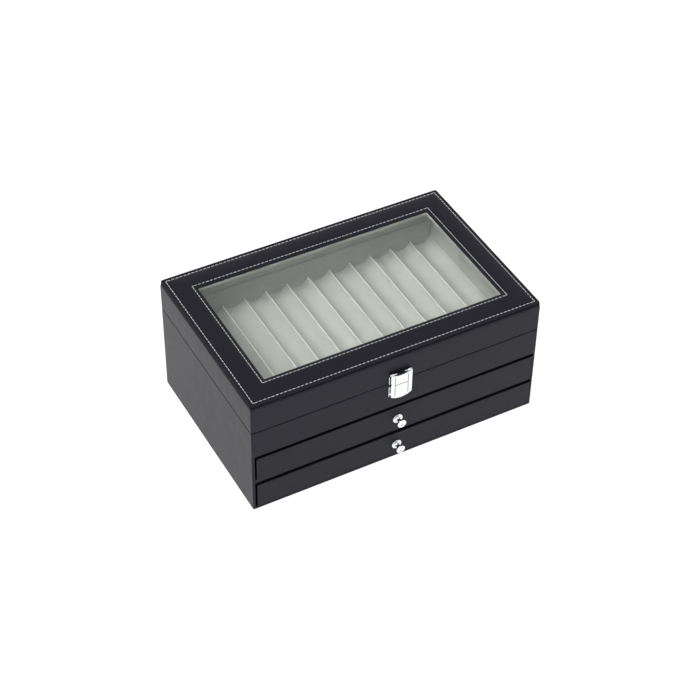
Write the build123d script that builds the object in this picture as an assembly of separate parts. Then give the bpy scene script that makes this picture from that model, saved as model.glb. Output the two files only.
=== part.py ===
from build123d import *
import os

# A three-layer pen storage box: a hinged lid with a glass window over a fluted pen tray, and two
# drawers below it with fluted trays of their own. Boards wrapped in black leatherette, grey suede
# linings, a chrome clasp and chrome knobs. X is the width, Y the depth with the drawer fronts
# towards -Y, and Z is up from the table. Sizes are millimetres.

# Overall size of the closed box, leather to leather
width = 335.0
depth = 214.0
height = 148.0

# Heights of the layers, from the table up
felt_thickness = 0.8
felt_inset = 2.0
floor_thickness = 3.3
drawer_run_gap = 0.4
drawer_front_height = 29.8
drawer_top_gap = 3.8
divider_thickness = 3.8
deck_thickness = 4.0
lid_height = 38.0
seam_gap = 0.8

# Case boards and their covering
leather = 1.0
case_board = 7.0
case_corner_radius = 1.6
side_lip = 2.9
lip_rabbet_depth = 6.0
edge_play = 0.1

# Suede-covered lining boards of the top compartment
liner_thickness = 5.0
liner_lip = 6.8
liner_edge_chamfer = 0.8

# Fluted pen trays
slot_count = 12
slot_depth = 8.2
ridge_flat = 1.0
tray_base = 7.0
drawer_tray_base = 2.6
tray_play = 0.2

# Drawers
drawer_side_play = 0.6
drawer_back_play = 1.0
drawer_front_left_gap = 2.1
drawer_front_right_gap = 0.3
drawer_front_thickness = 6.7
drawer_front_radius = 0.8
drawer_board = 4.0
drawer_bottom_thickness = 3.0
drawer_side_height = 26.5

# Turned knobs
knob_length = 9.4
knob_flange_radius = 5.6
knob_flange_rim = 0.7
knob_flange_length = 3.0
knob_neck_radius = 2.3
knob_head_radius = 5.0
knob_head_rim = 2.0
knob_head_flare = 1.7
knob_edge_radius = 0.3
knob_dish_depth = 1.1
knob_dish_radius = 3.4
knob_centre_height = 13.2
knob_screw_radius = 1.5
knob_screw_head_radius = 3.0
knob_screw_head_height = 1.8
knob_screw_reach = 6.0

# Lid
lid_board = 6.4
lid_cover_thickness = 2.0
lid_cover_leather = 0.6
lid_cover_edge_radius = 1.3
lid_cover_under_radius = 0.5
lid_corner_radius = 2.4
window_edge_radius = 0.6
cover_groove = 2.4
window_border = 30.0
glass_thickness = 2.0
glass_rebate = 6.0
glass_seat_depth = 0.7
glass_play = 0.1
glass_side_play = 0.3
retainer_thickness = 5.0
lid_liner_lift = 0.5

# Butt hinges on the back rim
hinge_side_distance = 62.5
hinge_width = 30.0
hinge_leaf = 0.8
hinge_leaf_gap = 0.3
hinge_knuckle_radius = 2.0
hinge_knuckle_length = 9.6
hinge_knuckle_play = 0.2
hinge_pin_radius = 0.95
hinge_bore_play = 0.05
hinge_pin_head = 0.6
hinge_pin_head_radius = 1.5
hinge_back_clearance = 0.3
hinge_leaf_setback = 0.2
hinge_screw_spacing = 20.0
hinge_screw_radius = 0.9
hinge_screw_head_radius = 1.9
hinge_screw_length = 6.0

# Clasp on the front
clasp_plate_width = 27.2
clasp_plate_thickness = 1.0
clasp_plate_seam = 1.2
clasp_plate_height = 10.6
clasp_cheek = 0.8
clasp_cheek_reach = 1.9
clasp_lug_start = 4.6
clasp_lug_end = 7.0
clasp_pin_height = 13.4
clasp_pin_stand = 2.6
clasp_pin_radius = 0.8
clasp_bore_play = 0.05
clasp_knuckle_radius = 1.8
clasp_knuckle_play = 0.3
clasp_knuckle_gap = 0.3
flap_width = 24.8
flap_drop = 28.3
flap_bottom_bulge = 3.8
flap_top_dip = 1.2
flap_plate = 1.2
flap_stand = 4.0
flap_wall = 1.2
flap_catch_clearance = 0.4
flap_groove_depth = 0.35
flap_groove_width = 0.7
flap_panel_width = 15.2
catch_plate_height = 13.4
catch_nose_width = 10.0
catch_nose_height = 5.5
catch_nose_reach = 2.0
catch_nose_drop = 7.15
catch_nose_chamfer = 0.9
clasp_screw_spacing = 17.0
clasp_screw_radius = 0.9
clasp_screw_head_radius = 1.7
clasp_screw_head_height = 0.6
clasp_screw_length = 6.0

# Screw holes, and how far a cutter runs past what it cuts
screw_fit = 0.02
overcut = 1.0

# Faces of the closed box
front_y = -depth / 2
back_y = depth / 2
half_width = width / 2

# Levels, from the table up
case_base = felt_thickness
floor_top = case_base + floor_thickness
lower_drawer_base = floor_top + drawer_run_gap
divider_base = lower_drawer_base + drawer_front_height + drawer_top_gap
divider_top = divider_base + divider_thickness
upper_drawer_base = divider_top + drawer_run_gap
deck_base = upper_drawer_base + drawer_front_height + drawer_top_gap
deck_top = deck_base + deck_thickness
seam_z = height - lid_height
case_top = seam_z - seam_gap / 2
lid_base = seam_z + seam_gap / 2
liner_top = lid_base + liner_lip
cover_base = height - lid_cover_thickness
glass_top = cover_base + glass_seat_depth - glass_play
glass_base = glass_top - glass_thickness
retainer_base = cover_base - retainer_thickness
lid_liner_base = liner_top + lid_liner_lift

# Plan lines, measured from the middle
board_x = half_width - leather
board_y = depth / 2 - leather
case_inner_x = board_x - case_board
case_inner_y = board_y - case_board
lip_inner_x = half_width - side_lip
shoulder_y = front_y + leather + lip_rabbet_depth
lid_inner_x = board_x - lid_board
lid_inner_y = board_y - lid_board
lining_x = case_inner_x - liner_thickness
lining_y = case_inner_y - liner_thickness
window_x = half_width - window_border
window_y = depth / 2 - window_border

# Drawer plan lines
drawer_front_left = -lip_inner_x + drawer_front_left_gap
drawer_front_right = lip_inner_x - drawer_front_right_gap
drawer_front_back_y = front_y + drawer_front_thickness
drawer_outer_x = case_inner_x - drawer_side_play
drawer_inner_x = drawer_outer_x - drawer_board
drawer_back_y = case_inner_y - drawer_back_play
drawer_inner_back_y = drawer_back_y - drawer_board

# Hinge and clasp lines
hinge_offset = half_width - hinge_side_distance
hinge_axis_y = back_y + hinge_knuckle_radius + hinge_back_clearance
leaf_start_y = lid_inner_y + hinge_leaf_setback
case_leaf_top = seam_z - hinge_leaf_gap / 2
lid_leaf_base = seam_z + hinge_leaf_gap / 2
clasp_axis_y = front_y - clasp_pin_stand
clasp_axis_z = seam_z + clasp_pin_height


def block(x0, x1, y0, y1, z0, z1):
    """A plain board between two corners."""
    solid = Box(x1 - x0, y1 - y0, z1 - z0)
    return Pos((x0 + x1) / 2, (y0 + y1) / 2, (z0 + z1) / 2) * solid


def middle(half_x, half_y, z0, z1):
    """A board centred on the box's own middle."""
    return block(-half_x, half_x, -half_y, half_y, z0, z1)


def across(radius, x0, x1, y, z):
    """A round bar along X."""
    bar = Rot(0, 90, 0) * Cylinder(radius, x1 - x0)
    return Pos((x0 + x1) / 2, y, z) * bar


def inward(radius, x, y0, y1, z):
    """A round bar along Y."""
    bar = Rot(90, 0, 0) * Cylinder(radius, y1 - y0)
    return Pos(x, (y0 + y1) / 2, z) * bar


def corner_edges(solid, half_x, half_y):
    """The upright edges at the four outer corners."""
    return [
        edge
        for edge in solid.edges().filter_by(Axis.Z)
        if abs(abs(edge.center().X) - half_x) < 0.01 and abs(abs(edge.center().Y) - half_y) < 0.01
    ]


def mirrored(solid):
    """The same piece on the other side of the box."""
    return mirror(solid, about=Plane.YZ)


def save(name, *solids):
    """Writes one sub-part, which may be a group of separate solids."""
    flat = [piece for solid in solids for piece in solid.solids()]
    shape = flat[0] if len(flat) == 1 else Compound(children=flat)
    export_step(shape, f"parts/{name}.step")


# Screws


def hinge_screw_points():
    """Where the hinge screws stand, in plan."""
    y = (leaf_start_y + back_y) / 2
    for hinge_x in (-hinge_offset, hinge_offset):
        for side in (-1, 1):
            yield hinge_x + side * hinge_screw_spacing / 2, y


def countersunk_screw(x, y, face_z, way, grow=0.0):
    """A flat-headed screw whose head is flush with face_z and whose shank runs way * Z."""
    head_angle_height = hinge_leaf
    head = Cone(hinge_screw_head_radius + grow, hinge_screw_radius + grow, head_angle_height)
    head = Pos(0, 0, head_angle_height / 2) * head
    shank = Pos(0, 0, hinge_screw_length / 2) * Cylinder(hinge_screw_radius + grow, hinge_screw_length)
    screw = head + shank
    if way < 0:
        screw = Rot(180, 0, 0) * screw
    return Pos(x, y, face_z) * screw


def case_hinge_screws(grow=0.0):
    """Screws that hold the lower hinge leaves to the back board."""
    return [countersunk_screw(x, y, case_leaf_top, -1, grow) for x, y in hinge_screw_points()]


def lid_hinge_screws(grow=0.0):
    """Screws that hold the upper hinge leaves to the lid's back rail."""
    return [countersunk_screw(x, y, lid_leaf_base, 1, grow) for x, y in hinge_screw_points()]


def clasp_screw(x, z, grow=0.0):
    """A small pan-headed screw driven into the front from a clasp plate."""
    seat_y = front_y - clasp_plate_thickness
    shank = inward(clasp_screw_radius + grow, x, seat_y, seat_y + clasp_screw_length, z)
    head = inward(clasp_screw_head_radius, x, seat_y - clasp_screw_head_height, seat_y, z)
    return shank + head


def plate_screws(grow=0.0):
    """Screws of the clasp plate on the lid."""
    z = lid_base + clasp_plate_seam + clasp_plate_height / 2
    return [clasp_screw(side * clasp_screw_spacing / 2, z, grow) for side in (-1, 1)]


def catch_screws(grow=0.0):
    """Screws of the catch plate on the case."""
    z = case_top - clasp_plate_seam - catch_plate_height / 2
    return [clasp_screw(side * clasp_screw_spacing / 2, z, grow) for side in (-1, 1)]


def less(solid, cutters):
    """A solid with each cutter taken away."""
    for cutter in cutters:
        solid = solid - cutter
    return solid


# Case


def hinge_mortises(z0, z1):
    """The shallow seats that the hinge leaves lie in, open to the back."""
    reach = hinge_width / 2 + edge_play
    return [
        block(x - reach, x + reach, leaf_start_y - edge_play, back_y + overcut, z0, z1)
        for x in (-hinge_offset, hinge_offset)
    ]


def case_mortises():
    return hinge_mortises(case_leaf_top - hinge_leaf, case_top + overcut)


def lid_mortises():
    return hinge_mortises(lid_base - overcut, lid_leaf_base + hinge_leaf)


def case_side():
    """The right side board, stepped at the front so that the drawer fronts stop against it."""
    side = block(case_inner_x, board_x, -board_y, board_y, floor_top, case_top)
    step = block(case_inner_x, lip_inner_x, -board_y, shoulder_y, floor_top, deck_base)
    return side - step


def case_floor():
    return middle(board_x, board_y, case_base, floor_top)


def case_felt():
    return middle(half_width - felt_inset, depth / 2 - felt_inset, 0, felt_thickness)


def case_back():
    back = block(-case_inner_x, case_inner_x, case_inner_y, board_y, floor_top, case_top)
    return less(back, case_mortises() + case_hinge_screws(screw_fit))


def front_rail():
    """The board across the front of the top compartment."""
    rail = block(-case_inner_x, case_inner_x, -board_y, -case_inner_y, deck_base, case_top)
    return less(rail, catch_screws(screw_fit))


def tray_deck():
    """The board that the top tray stands on."""
    return middle(case_inner_x, case_inner_y, deck_base, deck_top)


def drawer_divider():
    """The shelf between the two drawers; its front edge fills the width between the lips."""
    shelf = block(-case_inner_x, case_inner_x, shoulder_y, case_inner_y, divider_base, divider_top)
    edge = block(-lip_inner_x, lip_inner_x, -board_y, shoulder_y, divider_base, divider_top)
    return shelf + edge


def case_leather():
    """The covering around all four sides, cut out for the two drawers."""
    skin = middle(half_width, depth / 2, case_base, case_top)
    skin = fillet(corner_edges(skin, half_width, depth / 2), case_corner_radius)
    skin = skin - middle(board_x, board_y, case_base, case_top)
    for base, top in ((floor_top, divider_base), (divider_top, deck_base)):
        skin = skin - block(-lip_inner_x, lip_inner_x, front_y - overcut, -board_y, base, top)
    return less(skin, case_mortises() + catch_screws(screw_fit))


def liner_board(x0, x1, y0, y1):
    """One lining board, which stands above the rim and guides the lid."""
    return block(x0, x1, y0, y1, deck_top, liner_top)


def case_liner_side():
    board = liner_board(lining_x, case_inner_x, -lining_y, lining_y)
    edge = [
        e
        for e in board.edges().filter_by(Axis.Y)
        if e.center().Z > liner_top - 0.01 and e.center().X > case_inner_x - 0.01
    ]
    return chamfer(edge, liner_edge_chamfer)


def case_liner_end(facing):
    """The lining board across the front (facing -1) or the back (facing 1)."""
    outer = facing * case_inner_y
    inner = facing * lining_y
    board = liner_board(-case_inner_x, case_inner_x, min(outer, inner), max(outer, inner))
    edge = [
        e
        for e in board.edges().filter_by(Axis.X)
        if e.center().Z > liner_top - 0.01 and abs(e.center().Y - outer) < 0.01
    ]
    return chamfer(edge, liner_edge_chamfer)


# Fluted trays


def fluted_tray(half_x, y0, y1, z0, base):
    """A pen tray: a slab with round-bottomed slots side by side, which run from front to back."""
    ridge_top = z0 + base + slot_depth
    pitch = 2 * half_x / slot_count
    half_chord = (pitch - ridge_flat) / 2
    slot_radius = (half_chord**2 + slot_depth**2) / (2 * slot_depth)
    tray = block(-half_x, half_x, y0, y1, z0, ridge_top)
    slot_z = z0 + base + slot_radius
    slots = []
    for i in range(slot_count):
        slot_x = -half_x + (i + 0.5) * pitch
        slots.append(inward(slot_radius, slot_x, y0 - overcut, y1 + overcut, slot_z))
    return less(tray, slots)


def pen_tray():
    """The display tray under the window."""
    reach_y = lining_y - tray_play
    return fluted_tray(lining_x - tray_play, -reach_y, reach_y, deck_top, tray_base)


# Drawers


def drawer_front(base):
    """The board of the drawer front, drilled for the knob's screw."""
    core = block(
        drawer_front_left + leather,
        drawer_front_right - leather,
        front_y + leather,
        drawer_front_back_y,
        base + leather,
        base + drawer_front_height - leather,
    )
    z = knob_z(base)
    shank = inward(knob_screw_radius + screw_fit, 0, front_y - overcut, drawer_front_back_y + overcut, z)
    head_seat_y = drawer_front_back_y - knob_screw_head_height
    head = inward(knob_screw_head_radius + edge_play, 0, head_seat_y, drawer_front_back_y + overcut, z)
    return core - shank - head


def drawer_front_leather(base):
    """The covering over the face and the four edges of a drawer front."""
    top = base + drawer_front_height
    skin = block(drawer_front_left, drawer_front_right, front_y, drawer_front_back_y, base, top)
    skin = fillet(skin.faces().sort_by(Axis.Y)[0].edges(), drawer_front_radius)
    core = block(
        drawer_front_left + leather,
        drawer_front_right - leather,
        front_y + leather,
        drawer_front_back_y,
        base + leather,
        top - leather,
    )
    shank = inward(knob_screw_radius + screw_fit, 0, front_y - overcut, front_y + 2 * leather, knob_z(base))
    return skin - core - shank


def drawer_side(base):
    bottom = base + drawer_bottom_thickness
    top = base + drawer_side_height
    return block(drawer_inner_x, drawer_outer_x, drawer_front_back_y, drawer_back_y, bottom, top)


def drawer_back(base):
    bottom = base + drawer_bottom_thickness
    top = base + drawer_side_height
    return block(-drawer_inner_x, drawer_inner_x, drawer_inner_back_y, drawer_back_y, bottom, top)


def drawer_bottom(base):
    top = base + drawer_bottom_thickness
    return block(-drawer_outer_x, drawer_outer_x, drawer_front_back_y, drawer_back_y, base, top)


def drawer_tray(base):
    """The fluted tray that lies in a drawer."""
    y0 = drawer_front_back_y + tray_play
    y1 = drawer_inner_back_y - tray_play
    z0 = base + drawer_bottom_thickness
    return fluted_tray(drawer_inner_x - tray_play, y0, y1, z0, drawer_tray_base)


def knob_z(base):
    """The height of a knob's axis above the table."""
    return base + knob_centre_height


def knob(base):
    """A turned knob: a flared flange, a waist and a dished head, on an axis along Y."""
    blank = Cylinder(knob_flange_radius, knob_length, align=(Align.CENTER, Align.CENTER, Align.MIN))
    neck = knob_neck_radius
    head_back = knob_length - knob_head_rim
    neck_end = head_back - knob_head_flare
    flange_flare = knob_flange_length - knob_flange_rim
    far = knob_flange_radius + overcut
    waste = [
        Line((neck, knob_flange_length), (neck, neck_end)),
        CenterArc((neck + knob_head_flare, neck_end), knob_head_flare, 180, -90),
        Polyline(
            (neck + knob_head_flare, head_back),
            (knob_head_radius, head_back),
            (knob_head_radius, knob_length + overcut),
            (far, knob_length + overcut),
            (far, knob_flange_rim),
            (neck + flange_flare, knob_flange_rim),
        ),
        CenterArc((neck + flange_flare, knob_flange_length), flange_flare, 270, -90),
    ]
    turned = blank - revolve(Plane.XZ * make_face(Curve() + waste), Axis.Z)
    dish_ball = (knob_dish_radius**2 + knob_dish_depth**2) / (2 * knob_dish_depth)
    turned = turned - Pos(0, 0, knob_length - knob_dish_depth + dish_ball) * Sphere(dish_ball)
    turned = fillet(turned.edges().filter_by(GeomType.CIRCLE).group_by(Axis.Z)[-1], knob_edge_radius)
    turned = turned - Cylinder(knob_screw_radius + screw_fit, 2 * knob_screw_reach)
    return Pos(0, front_y, knob_z(base)) * Rot(90, 0, 0) * turned


def knob_screw(base):
    """The screw that draws the knob against the drawer front from inside."""
    z = knob_z(base)
    seat_y = drawer_front_back_y - knob_screw_head_height
    shank = inward(knob_screw_radius, 0, front_y - knob_screw_reach + edge_play, seat_y, z)
    head = inward(knob_screw_head_radius, 0, seat_y, drawer_front_back_y, z)
    return shank + head


# Lid


def lid_side_rail():
    return block(lid_inner_x, board_x, -board_y, board_y, lid_base, cover_base)


def lid_front_rail():
    rail = block(-lid_inner_x, lid_inner_x, -board_y, -lid_inner_y, lid_base, cover_base)
    return less(rail, plate_screws(screw_fit))


def lid_back_rail():
    rail = block(-lid_inner_x, lid_inner_x, lid_inner_y, board_y, lid_base, cover_base)
    return less(rail, lid_mortises() + lid_hinge_screws(screw_fit))


def lid_cover_board():
    """The thin top board under the stitched leather, cut out for the window and its glass."""
    reach_x = half_width - lid_cover_leather
    reach_y = depth / 2 - lid_cover_leather
    board = middle(reach_x, reach_y, cover_base, height - lid_cover_leather)
    board = fillet(corner_edges(board, reach_x, reach_y), lid_corner_radius - lid_cover_leather)
    window = middle(window_x + lid_cover_leather, window_y + lid_cover_leather, cover_base, height)
    return board - window - glass_seat()


def glass_seat():
    """The rebate under the top board that the glass lies up in."""
    seat_top = cover_base + glass_seat_depth
    return middle(window_x + glass_rebate, window_y + glass_rebate, cover_base, seat_top)


def window_glass():
    reach = glass_rebate - glass_side_play
    return middle(window_x + reach, window_y + reach, glass_base, glass_top)


def glass_retainer():
    """The suede-covered frame inside the lid, rebated on top so that it holds the glass up."""
    frame = middle(lid_inner_x, lid_inner_y, retainer_base, cover_base)
    seat = middle(window_x + glass_rebate, window_y + glass_rebate, glass_base - glass_play, cover_base)
    return frame - seat - middle(window_x, window_y, retainer_base, cover_base)


def lid_liner_side():
    return block(lining_x, lid_inner_x, -lining_y, lining_y, lid_liner_base, retainer_base)


def lid_liner_end(facing):
    outer = facing * lid_inner_y
    inner = facing * lining_y
    y0, y1 = min(outer, inner), max(outer, inner)
    return block(-lid_inner_x, lid_inner_x, y0, y1, lid_liner_base, retainer_base)


def lid_band():
    """The covering around the lid's four sides, which stops short of the top cover."""
    top = cover_base - cover_groove
    band = middle(half_width, depth / 2, lid_base, top)
    band = fillet(corner_edges(band, half_width, depth / 2), case_corner_radius)
    band = band - middle(board_x, board_y, lid_base, top)
    return less(band, lid_mortises() + plate_screws(screw_fit))


def lid_cover():
    """The stitched top cover, which wraps the top board's outer edge and its window edge."""
    cover = middle(half_width, depth / 2, cover_base, height)
    cover = fillet(corner_edges(cover, half_width, depth / 2), lid_corner_radius)
    cover = fillet(cover.faces().sort_by(Axis.Z)[-1].edges(), lid_cover_edge_radius)
    cover = fillet(cover.faces().sort_by(Axis.Z)[0].edges(), lid_cover_under_radius)
    cover = cover - middle(window_x, window_y, cover_base, height)
    rim = [
        edge
        for edge in cover.faces().sort_by(Axis.Z)[-1].edges()
        if abs(edge.center().X) < window_x + 0.01 and abs(edge.center().Y) < window_y + 0.01
    ]
    cover = fillet(rim, window_edge_radius)
    return cover - lid_cover_board() - glass_seat()


# Hinges


def knuckles(x, outer):
    """The x spans of the two outer knuckles, or of the one between them."""
    half = hinge_width / 2
    inner = hinge_knuckle_length / 2
    if outer:
        return [(x - half, x - inner - hinge_knuckle_play), (x + inner + hinge_knuckle_play, x + half)]
    return [(x - inner, x + inner)]


def hinge_leaf_piece(x, z0, outer, screws):
    """A leaf with its knuckles: outer for the lid's leaf, the middle one for the case's."""
    half = hinge_width / 2
    leaf = block(x - half, x + half, leaf_start_y, back_y, z0, z0 + hinge_leaf)
    for x0, x1 in knuckles(x, outer):
        leaf = leaf + block(x0, x1, back_y - overcut, hinge_axis_y, z0, z0 + hinge_leaf)
        leaf = leaf + across(hinge_knuckle_radius, x0, x1, hinge_axis_y, seam_z)
    bore = hinge_pin_radius + hinge_bore_play
    leaf = leaf - across(bore, x - half - overcut, x + half + overcut, hinge_axis_y, seam_z)
    near = [s for s in screws if abs(s.center().X - x) < half]
    return less(leaf, near)


def hinge_pin(x):
    """A hinge pin with a head at each end."""
    reach = hinge_width / 2 + hinge_bore_play
    pin = across(hinge_pin_radius, x - reach, x + reach, hinge_axis_y, seam_z)
    for side in (-1, 1):
        ends = sorted((x + side * reach, x + side * (reach + hinge_pin_head)))
        pin = pin + across(hinge_pin_head_radius, ends[0], ends[1], hinge_axis_y, seam_z)
    return pin


# Clasp


def clasp_bore():
    """The hole for the clasp's pins, right across the clasp."""
    reach = flap_width / 2 + overcut
    return across(clasp_pin_radius + clasp_bore_play, -reach, reach, clasp_axis_y, clasp_axis_z)


def cheeked_plate(z0, z1):
    """A plate on the front whose two sides are turned up into low cheeks."""
    half = clasp_plate_width / 2
    back = front_y - clasp_plate_thickness
    plate = block(-half, half, back, front_y, z0, z1)
    for x0, x1 in ((-half, -half + clasp_cheek), (half - clasp_cheek, half)):
        plate = plate + block(x0, x1, back - clasp_cheek_reach, front_y, z0, z1)
    return plate


def clasp_plate():
    """The plate on the lid, with two lugs that roll into the inner knuckles."""
    z0 = lid_base + clasp_plate_seam
    back = front_y - clasp_plate_thickness
    plate = cheeked_plate(z0, z0 + clasp_plate_height)
    for x0, x1 in ((-clasp_lug_end, -clasp_lug_start), (clasp_lug_start, clasp_lug_end)):
        plate = plate + block(x0, x1, back, front_y, z0, clasp_axis_z)
        plate = plate + across(clasp_knuckle_radius, x0, x1, clasp_axis_y, clasp_axis_z)
    return less(plate - clasp_bore(), plate_screws(screw_fit))


def clasp_pins():
    """The two short pins, each through one lug and the flap's knuckle beside it."""
    reach = flap_width / 2
    ends = ((-reach, -clasp_lug_start), (clasp_lug_start, reach))
    return [across(clasp_pin_radius, x0, x1, clasp_axis_y, clasp_axis_z) for x0, x1 in ends]


def flap_face(inset):
    """The flap's outline in the XZ plane: straight sides, a bulging foot and a dipped top."""
    half = flap_width / 2 - inset
    top = clasp_axis_z
    foot = clasp_axis_z - flap_drop + inset
    dip = clasp_lug_end + clasp_knuckle_play
    outline = [
        ThreePointArc((-half, foot), (0, foot - flap_bottom_bulge), (half, foot)),
        Line((half, foot), (half, top)),
        Line((half, top), (dip, top)),
        ThreePointArc((dip, top), (0, top - flap_top_dip), (-dip, top)),
        Line((-dip, top), (-half, top)),
        Line((-half, top), (-half, foot)),
    ]
    return make_face(Plane.XZ * Wire(outline))


def clasp_flap():
    """The hinged flap: a formed plate with a turned-in rim and two knuckles."""
    half = flap_width / 2
    far = half + overcut
    face_y = front_y - flap_stand - flap_plate
    rim_y = front_y - clasp_plate_thickness - catch_nose_reach - flap_catch_clearance
    foot = clasp_axis_z - flap_drop
    flap = Pos(0, face_y, 0) * extrude(flap_face(0.0), -(rim_y - face_y))
    hollow_y = face_y + flap_plate
    hollow = Pos(0, hollow_y, 0) * extrude(flap_face(flap_wall), -(rim_y - hollow_y + overcut))
    flap = flap - hollow
    room = clasp_knuckle_radius + clasp_knuckle_gap
    flap = flap - across(room, -far, far, clasp_axis_y, clasp_axis_z)
    for side in (-1, 1):
        ends = sorted((side * (clasp_lug_end + clasp_knuckle_play), side * half))
        flap = flap + across(clasp_knuckle_radius, ends[0], ends[1], clasp_axis_y, clasp_axis_z)
        web = block(ends[0], ends[1], face_y, clasp_axis_y, clasp_axis_z - room - overcut, clasp_axis_z)
        flap = flap + web
    flap = flap - clasp_bore()
    groove_y = face_y + flap_groove_depth
    reach = flap_groove_width / 2
    panel = flap_panel_width / 2
    dip_z = clasp_axis_z - flap_top_dip
    for x in (-panel, panel):
        flap = flap - block(x - reach, x + reach, face_y - overcut, groove_y, foot, dip_z)
    return flap - block(-panel, panel, face_y - overcut, groove_y, seam_z - reach, seam_z + reach)


def clasp_catch():
    """The plate on the case with the nose that the flap's foot snaps under."""
    z1 = case_top - clasp_plate_seam
    back = front_y - clasp_plate_thickness
    plate = cheeked_plate(z1 - catch_plate_height, z1)
    nose_top = z1 - catch_nose_drop + catch_nose_height / 2
    nose = block(
        -catch_nose_width / 2,
        catch_nose_width / 2,
        back - catch_nose_reach,
        back,
        nose_top - catch_nose_height,
        nose_top,
    )
    edges = nose.faces().sort_by(Axis.Y)[0].edges().filter_by(Axis.X)
    nose = chamfer(edges, catch_nose_chamfer)
    return less(plate + nose, catch_screws(screw_fit))


def main():
    os.makedirs("parts", exist_ok=True)

    save("base_felt", case_felt())
    save("case_floor", case_floor())
    save("case_side_right", case_side())
    save("case_side_left", mirrored(case_side()))
    save("case_back_board", case_back())
    save("case_front_rail", front_rail())
    save("tray_deck", tray_deck())
    save("drawer_divider", drawer_divider())
    save("case_leather", case_leather())
    save("case_liner_right", case_liner_side())
    save("case_liner_left", mirrored(case_liner_side()))
    save("case_liner_front", case_liner_end(-1))
    save("case_liner_back", case_liner_end(1))
    save("pen_tray", pen_tray())

    for name, base in (("lower", lower_drawer_base), ("upper", upper_drawer_base)):
        save(f"{name}_drawer_front", drawer_front(base))
        save(f"{name}_drawer_front_leather", drawer_front_leather(base))
        save(f"{name}_drawer_side_right", drawer_side(base))
        save(f"{name}_drawer_side_left", mirrored(drawer_side(base)))
        save(f"{name}_drawer_back", drawer_back(base))
        save(f"{name}_drawer_bottom", drawer_bottom(base))
        save(f"{name}_drawer_tray", drawer_tray(base))
        save(f"{name}_drawer_knob", knob(base))
        save(f"{name}_drawer_knob_screw", knob_screw(base))

    save("lid_rail_right", lid_side_rail())
    save("lid_rail_left", mirrored(lid_side_rail()))
    save("lid_rail_front", lid_front_rail())
    save("lid_rail_back", lid_back_rail())
    save("lid_cover_board", lid_cover_board())
    save("window_glass", window_glass())
    save("glass_retainer", glass_retainer())
    save("lid_liner_right", lid_liner_side())
    save("lid_liner_left", mirrored(lid_liner_side()))
    save("lid_liner_front", lid_liner_end(-1))
    save("lid_liner_back", lid_liner_end(1))
    save("lid_band_leather", lid_band())
    save("lid_cover_leather", lid_cover())

    for name, x in (("left", -hinge_offset), ("right", hinge_offset)):
        case_leaf_base = case_leaf_top - hinge_leaf
        case_screws = case_hinge_screws(screw_fit)
        lid_screws = lid_hinge_screws(screw_fit)
        save(f"hinge_case_leaf_{name}", hinge_leaf_piece(x, case_leaf_base, False, case_screws))
        save(f"hinge_lid_leaf_{name}", hinge_leaf_piece(x, lid_leaf_base, True, lid_screws))
        save(f"hinge_pin_{name}", hinge_pin(x))
    save("hinge_case_screws", *case_hinge_screws())
    save("hinge_lid_screws", *lid_hinge_screws())

    save("clasp_plate", clasp_plate())
    save("clasp_plate_screws", *plate_screws())
    save("clasp_pin", *clasp_pins())
    save("clasp_flap", clasp_flap())
    save("clasp_catch", clasp_catch())
    save("clasp_catch_screws", *catch_screws())


main()
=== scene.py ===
import logging
import math
from contextlib import contextmanager
from dataclasses import dataclass, field
from enum import Enum
from typing import Callable, Iterator, Sequence

import bmesh
import bpy
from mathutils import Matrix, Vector


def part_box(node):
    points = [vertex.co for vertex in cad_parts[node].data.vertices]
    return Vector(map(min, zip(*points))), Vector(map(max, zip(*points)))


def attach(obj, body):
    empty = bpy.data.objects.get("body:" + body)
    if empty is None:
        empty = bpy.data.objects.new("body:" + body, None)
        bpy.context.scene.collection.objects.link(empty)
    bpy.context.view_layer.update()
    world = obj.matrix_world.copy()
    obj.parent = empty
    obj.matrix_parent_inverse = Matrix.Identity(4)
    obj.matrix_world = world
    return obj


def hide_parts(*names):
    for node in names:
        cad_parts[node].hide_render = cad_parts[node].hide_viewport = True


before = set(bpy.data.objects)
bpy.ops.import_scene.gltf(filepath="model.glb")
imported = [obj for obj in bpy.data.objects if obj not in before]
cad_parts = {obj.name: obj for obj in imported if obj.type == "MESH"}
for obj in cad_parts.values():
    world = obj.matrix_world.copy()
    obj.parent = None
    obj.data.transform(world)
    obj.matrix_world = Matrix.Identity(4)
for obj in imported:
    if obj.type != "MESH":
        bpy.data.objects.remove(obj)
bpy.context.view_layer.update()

# A three-layer pen storage box: a glazed lid stitched in white thread over a fluted suede tray, and
# two drawers below it. Sizes in this file are millimetres; Blender's metres come in through MM.

MM = 0.001
LOG = logging.getLogger("pen_storage_box")
Point = tuple[float, float, float]
EdgeTest = Callable[[Vector, Vector], bool]
ORIGIN: Point = (0.0, 0.0, 0.0)
SIDES = ("right", "left", "front", "back")
NEAR = 0.02  # How close to a place counts as at it
OVER = 1.0  # How far a cutter reaches past what it cuts
PAST = 0.1  # How far past a place a test or a seat still reaches


class Body(Enum):
    """The parts of the box that move by themselves."""

    CASE = "case"
    LID = "lid"
    FLAP = "flap"
    UPPER_DRAWER = "upper_drawer"
    LOWER_DRAWER = "lower_drawer"


class Slot(Enum):
    """Names of material slots, one for each kind of new piece."""

    LEATHER = "black_leather"
    SUEDE = "grey_suede"
    BOARD = "board"
    CHROME = "chrome"
    STEEL = "steel_screws"


class Pick(Enum):
    """What an edit selects."""

    POINTS = "VERT"
    EDGES = "EDGE"
    FACES = "FACE"


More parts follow.
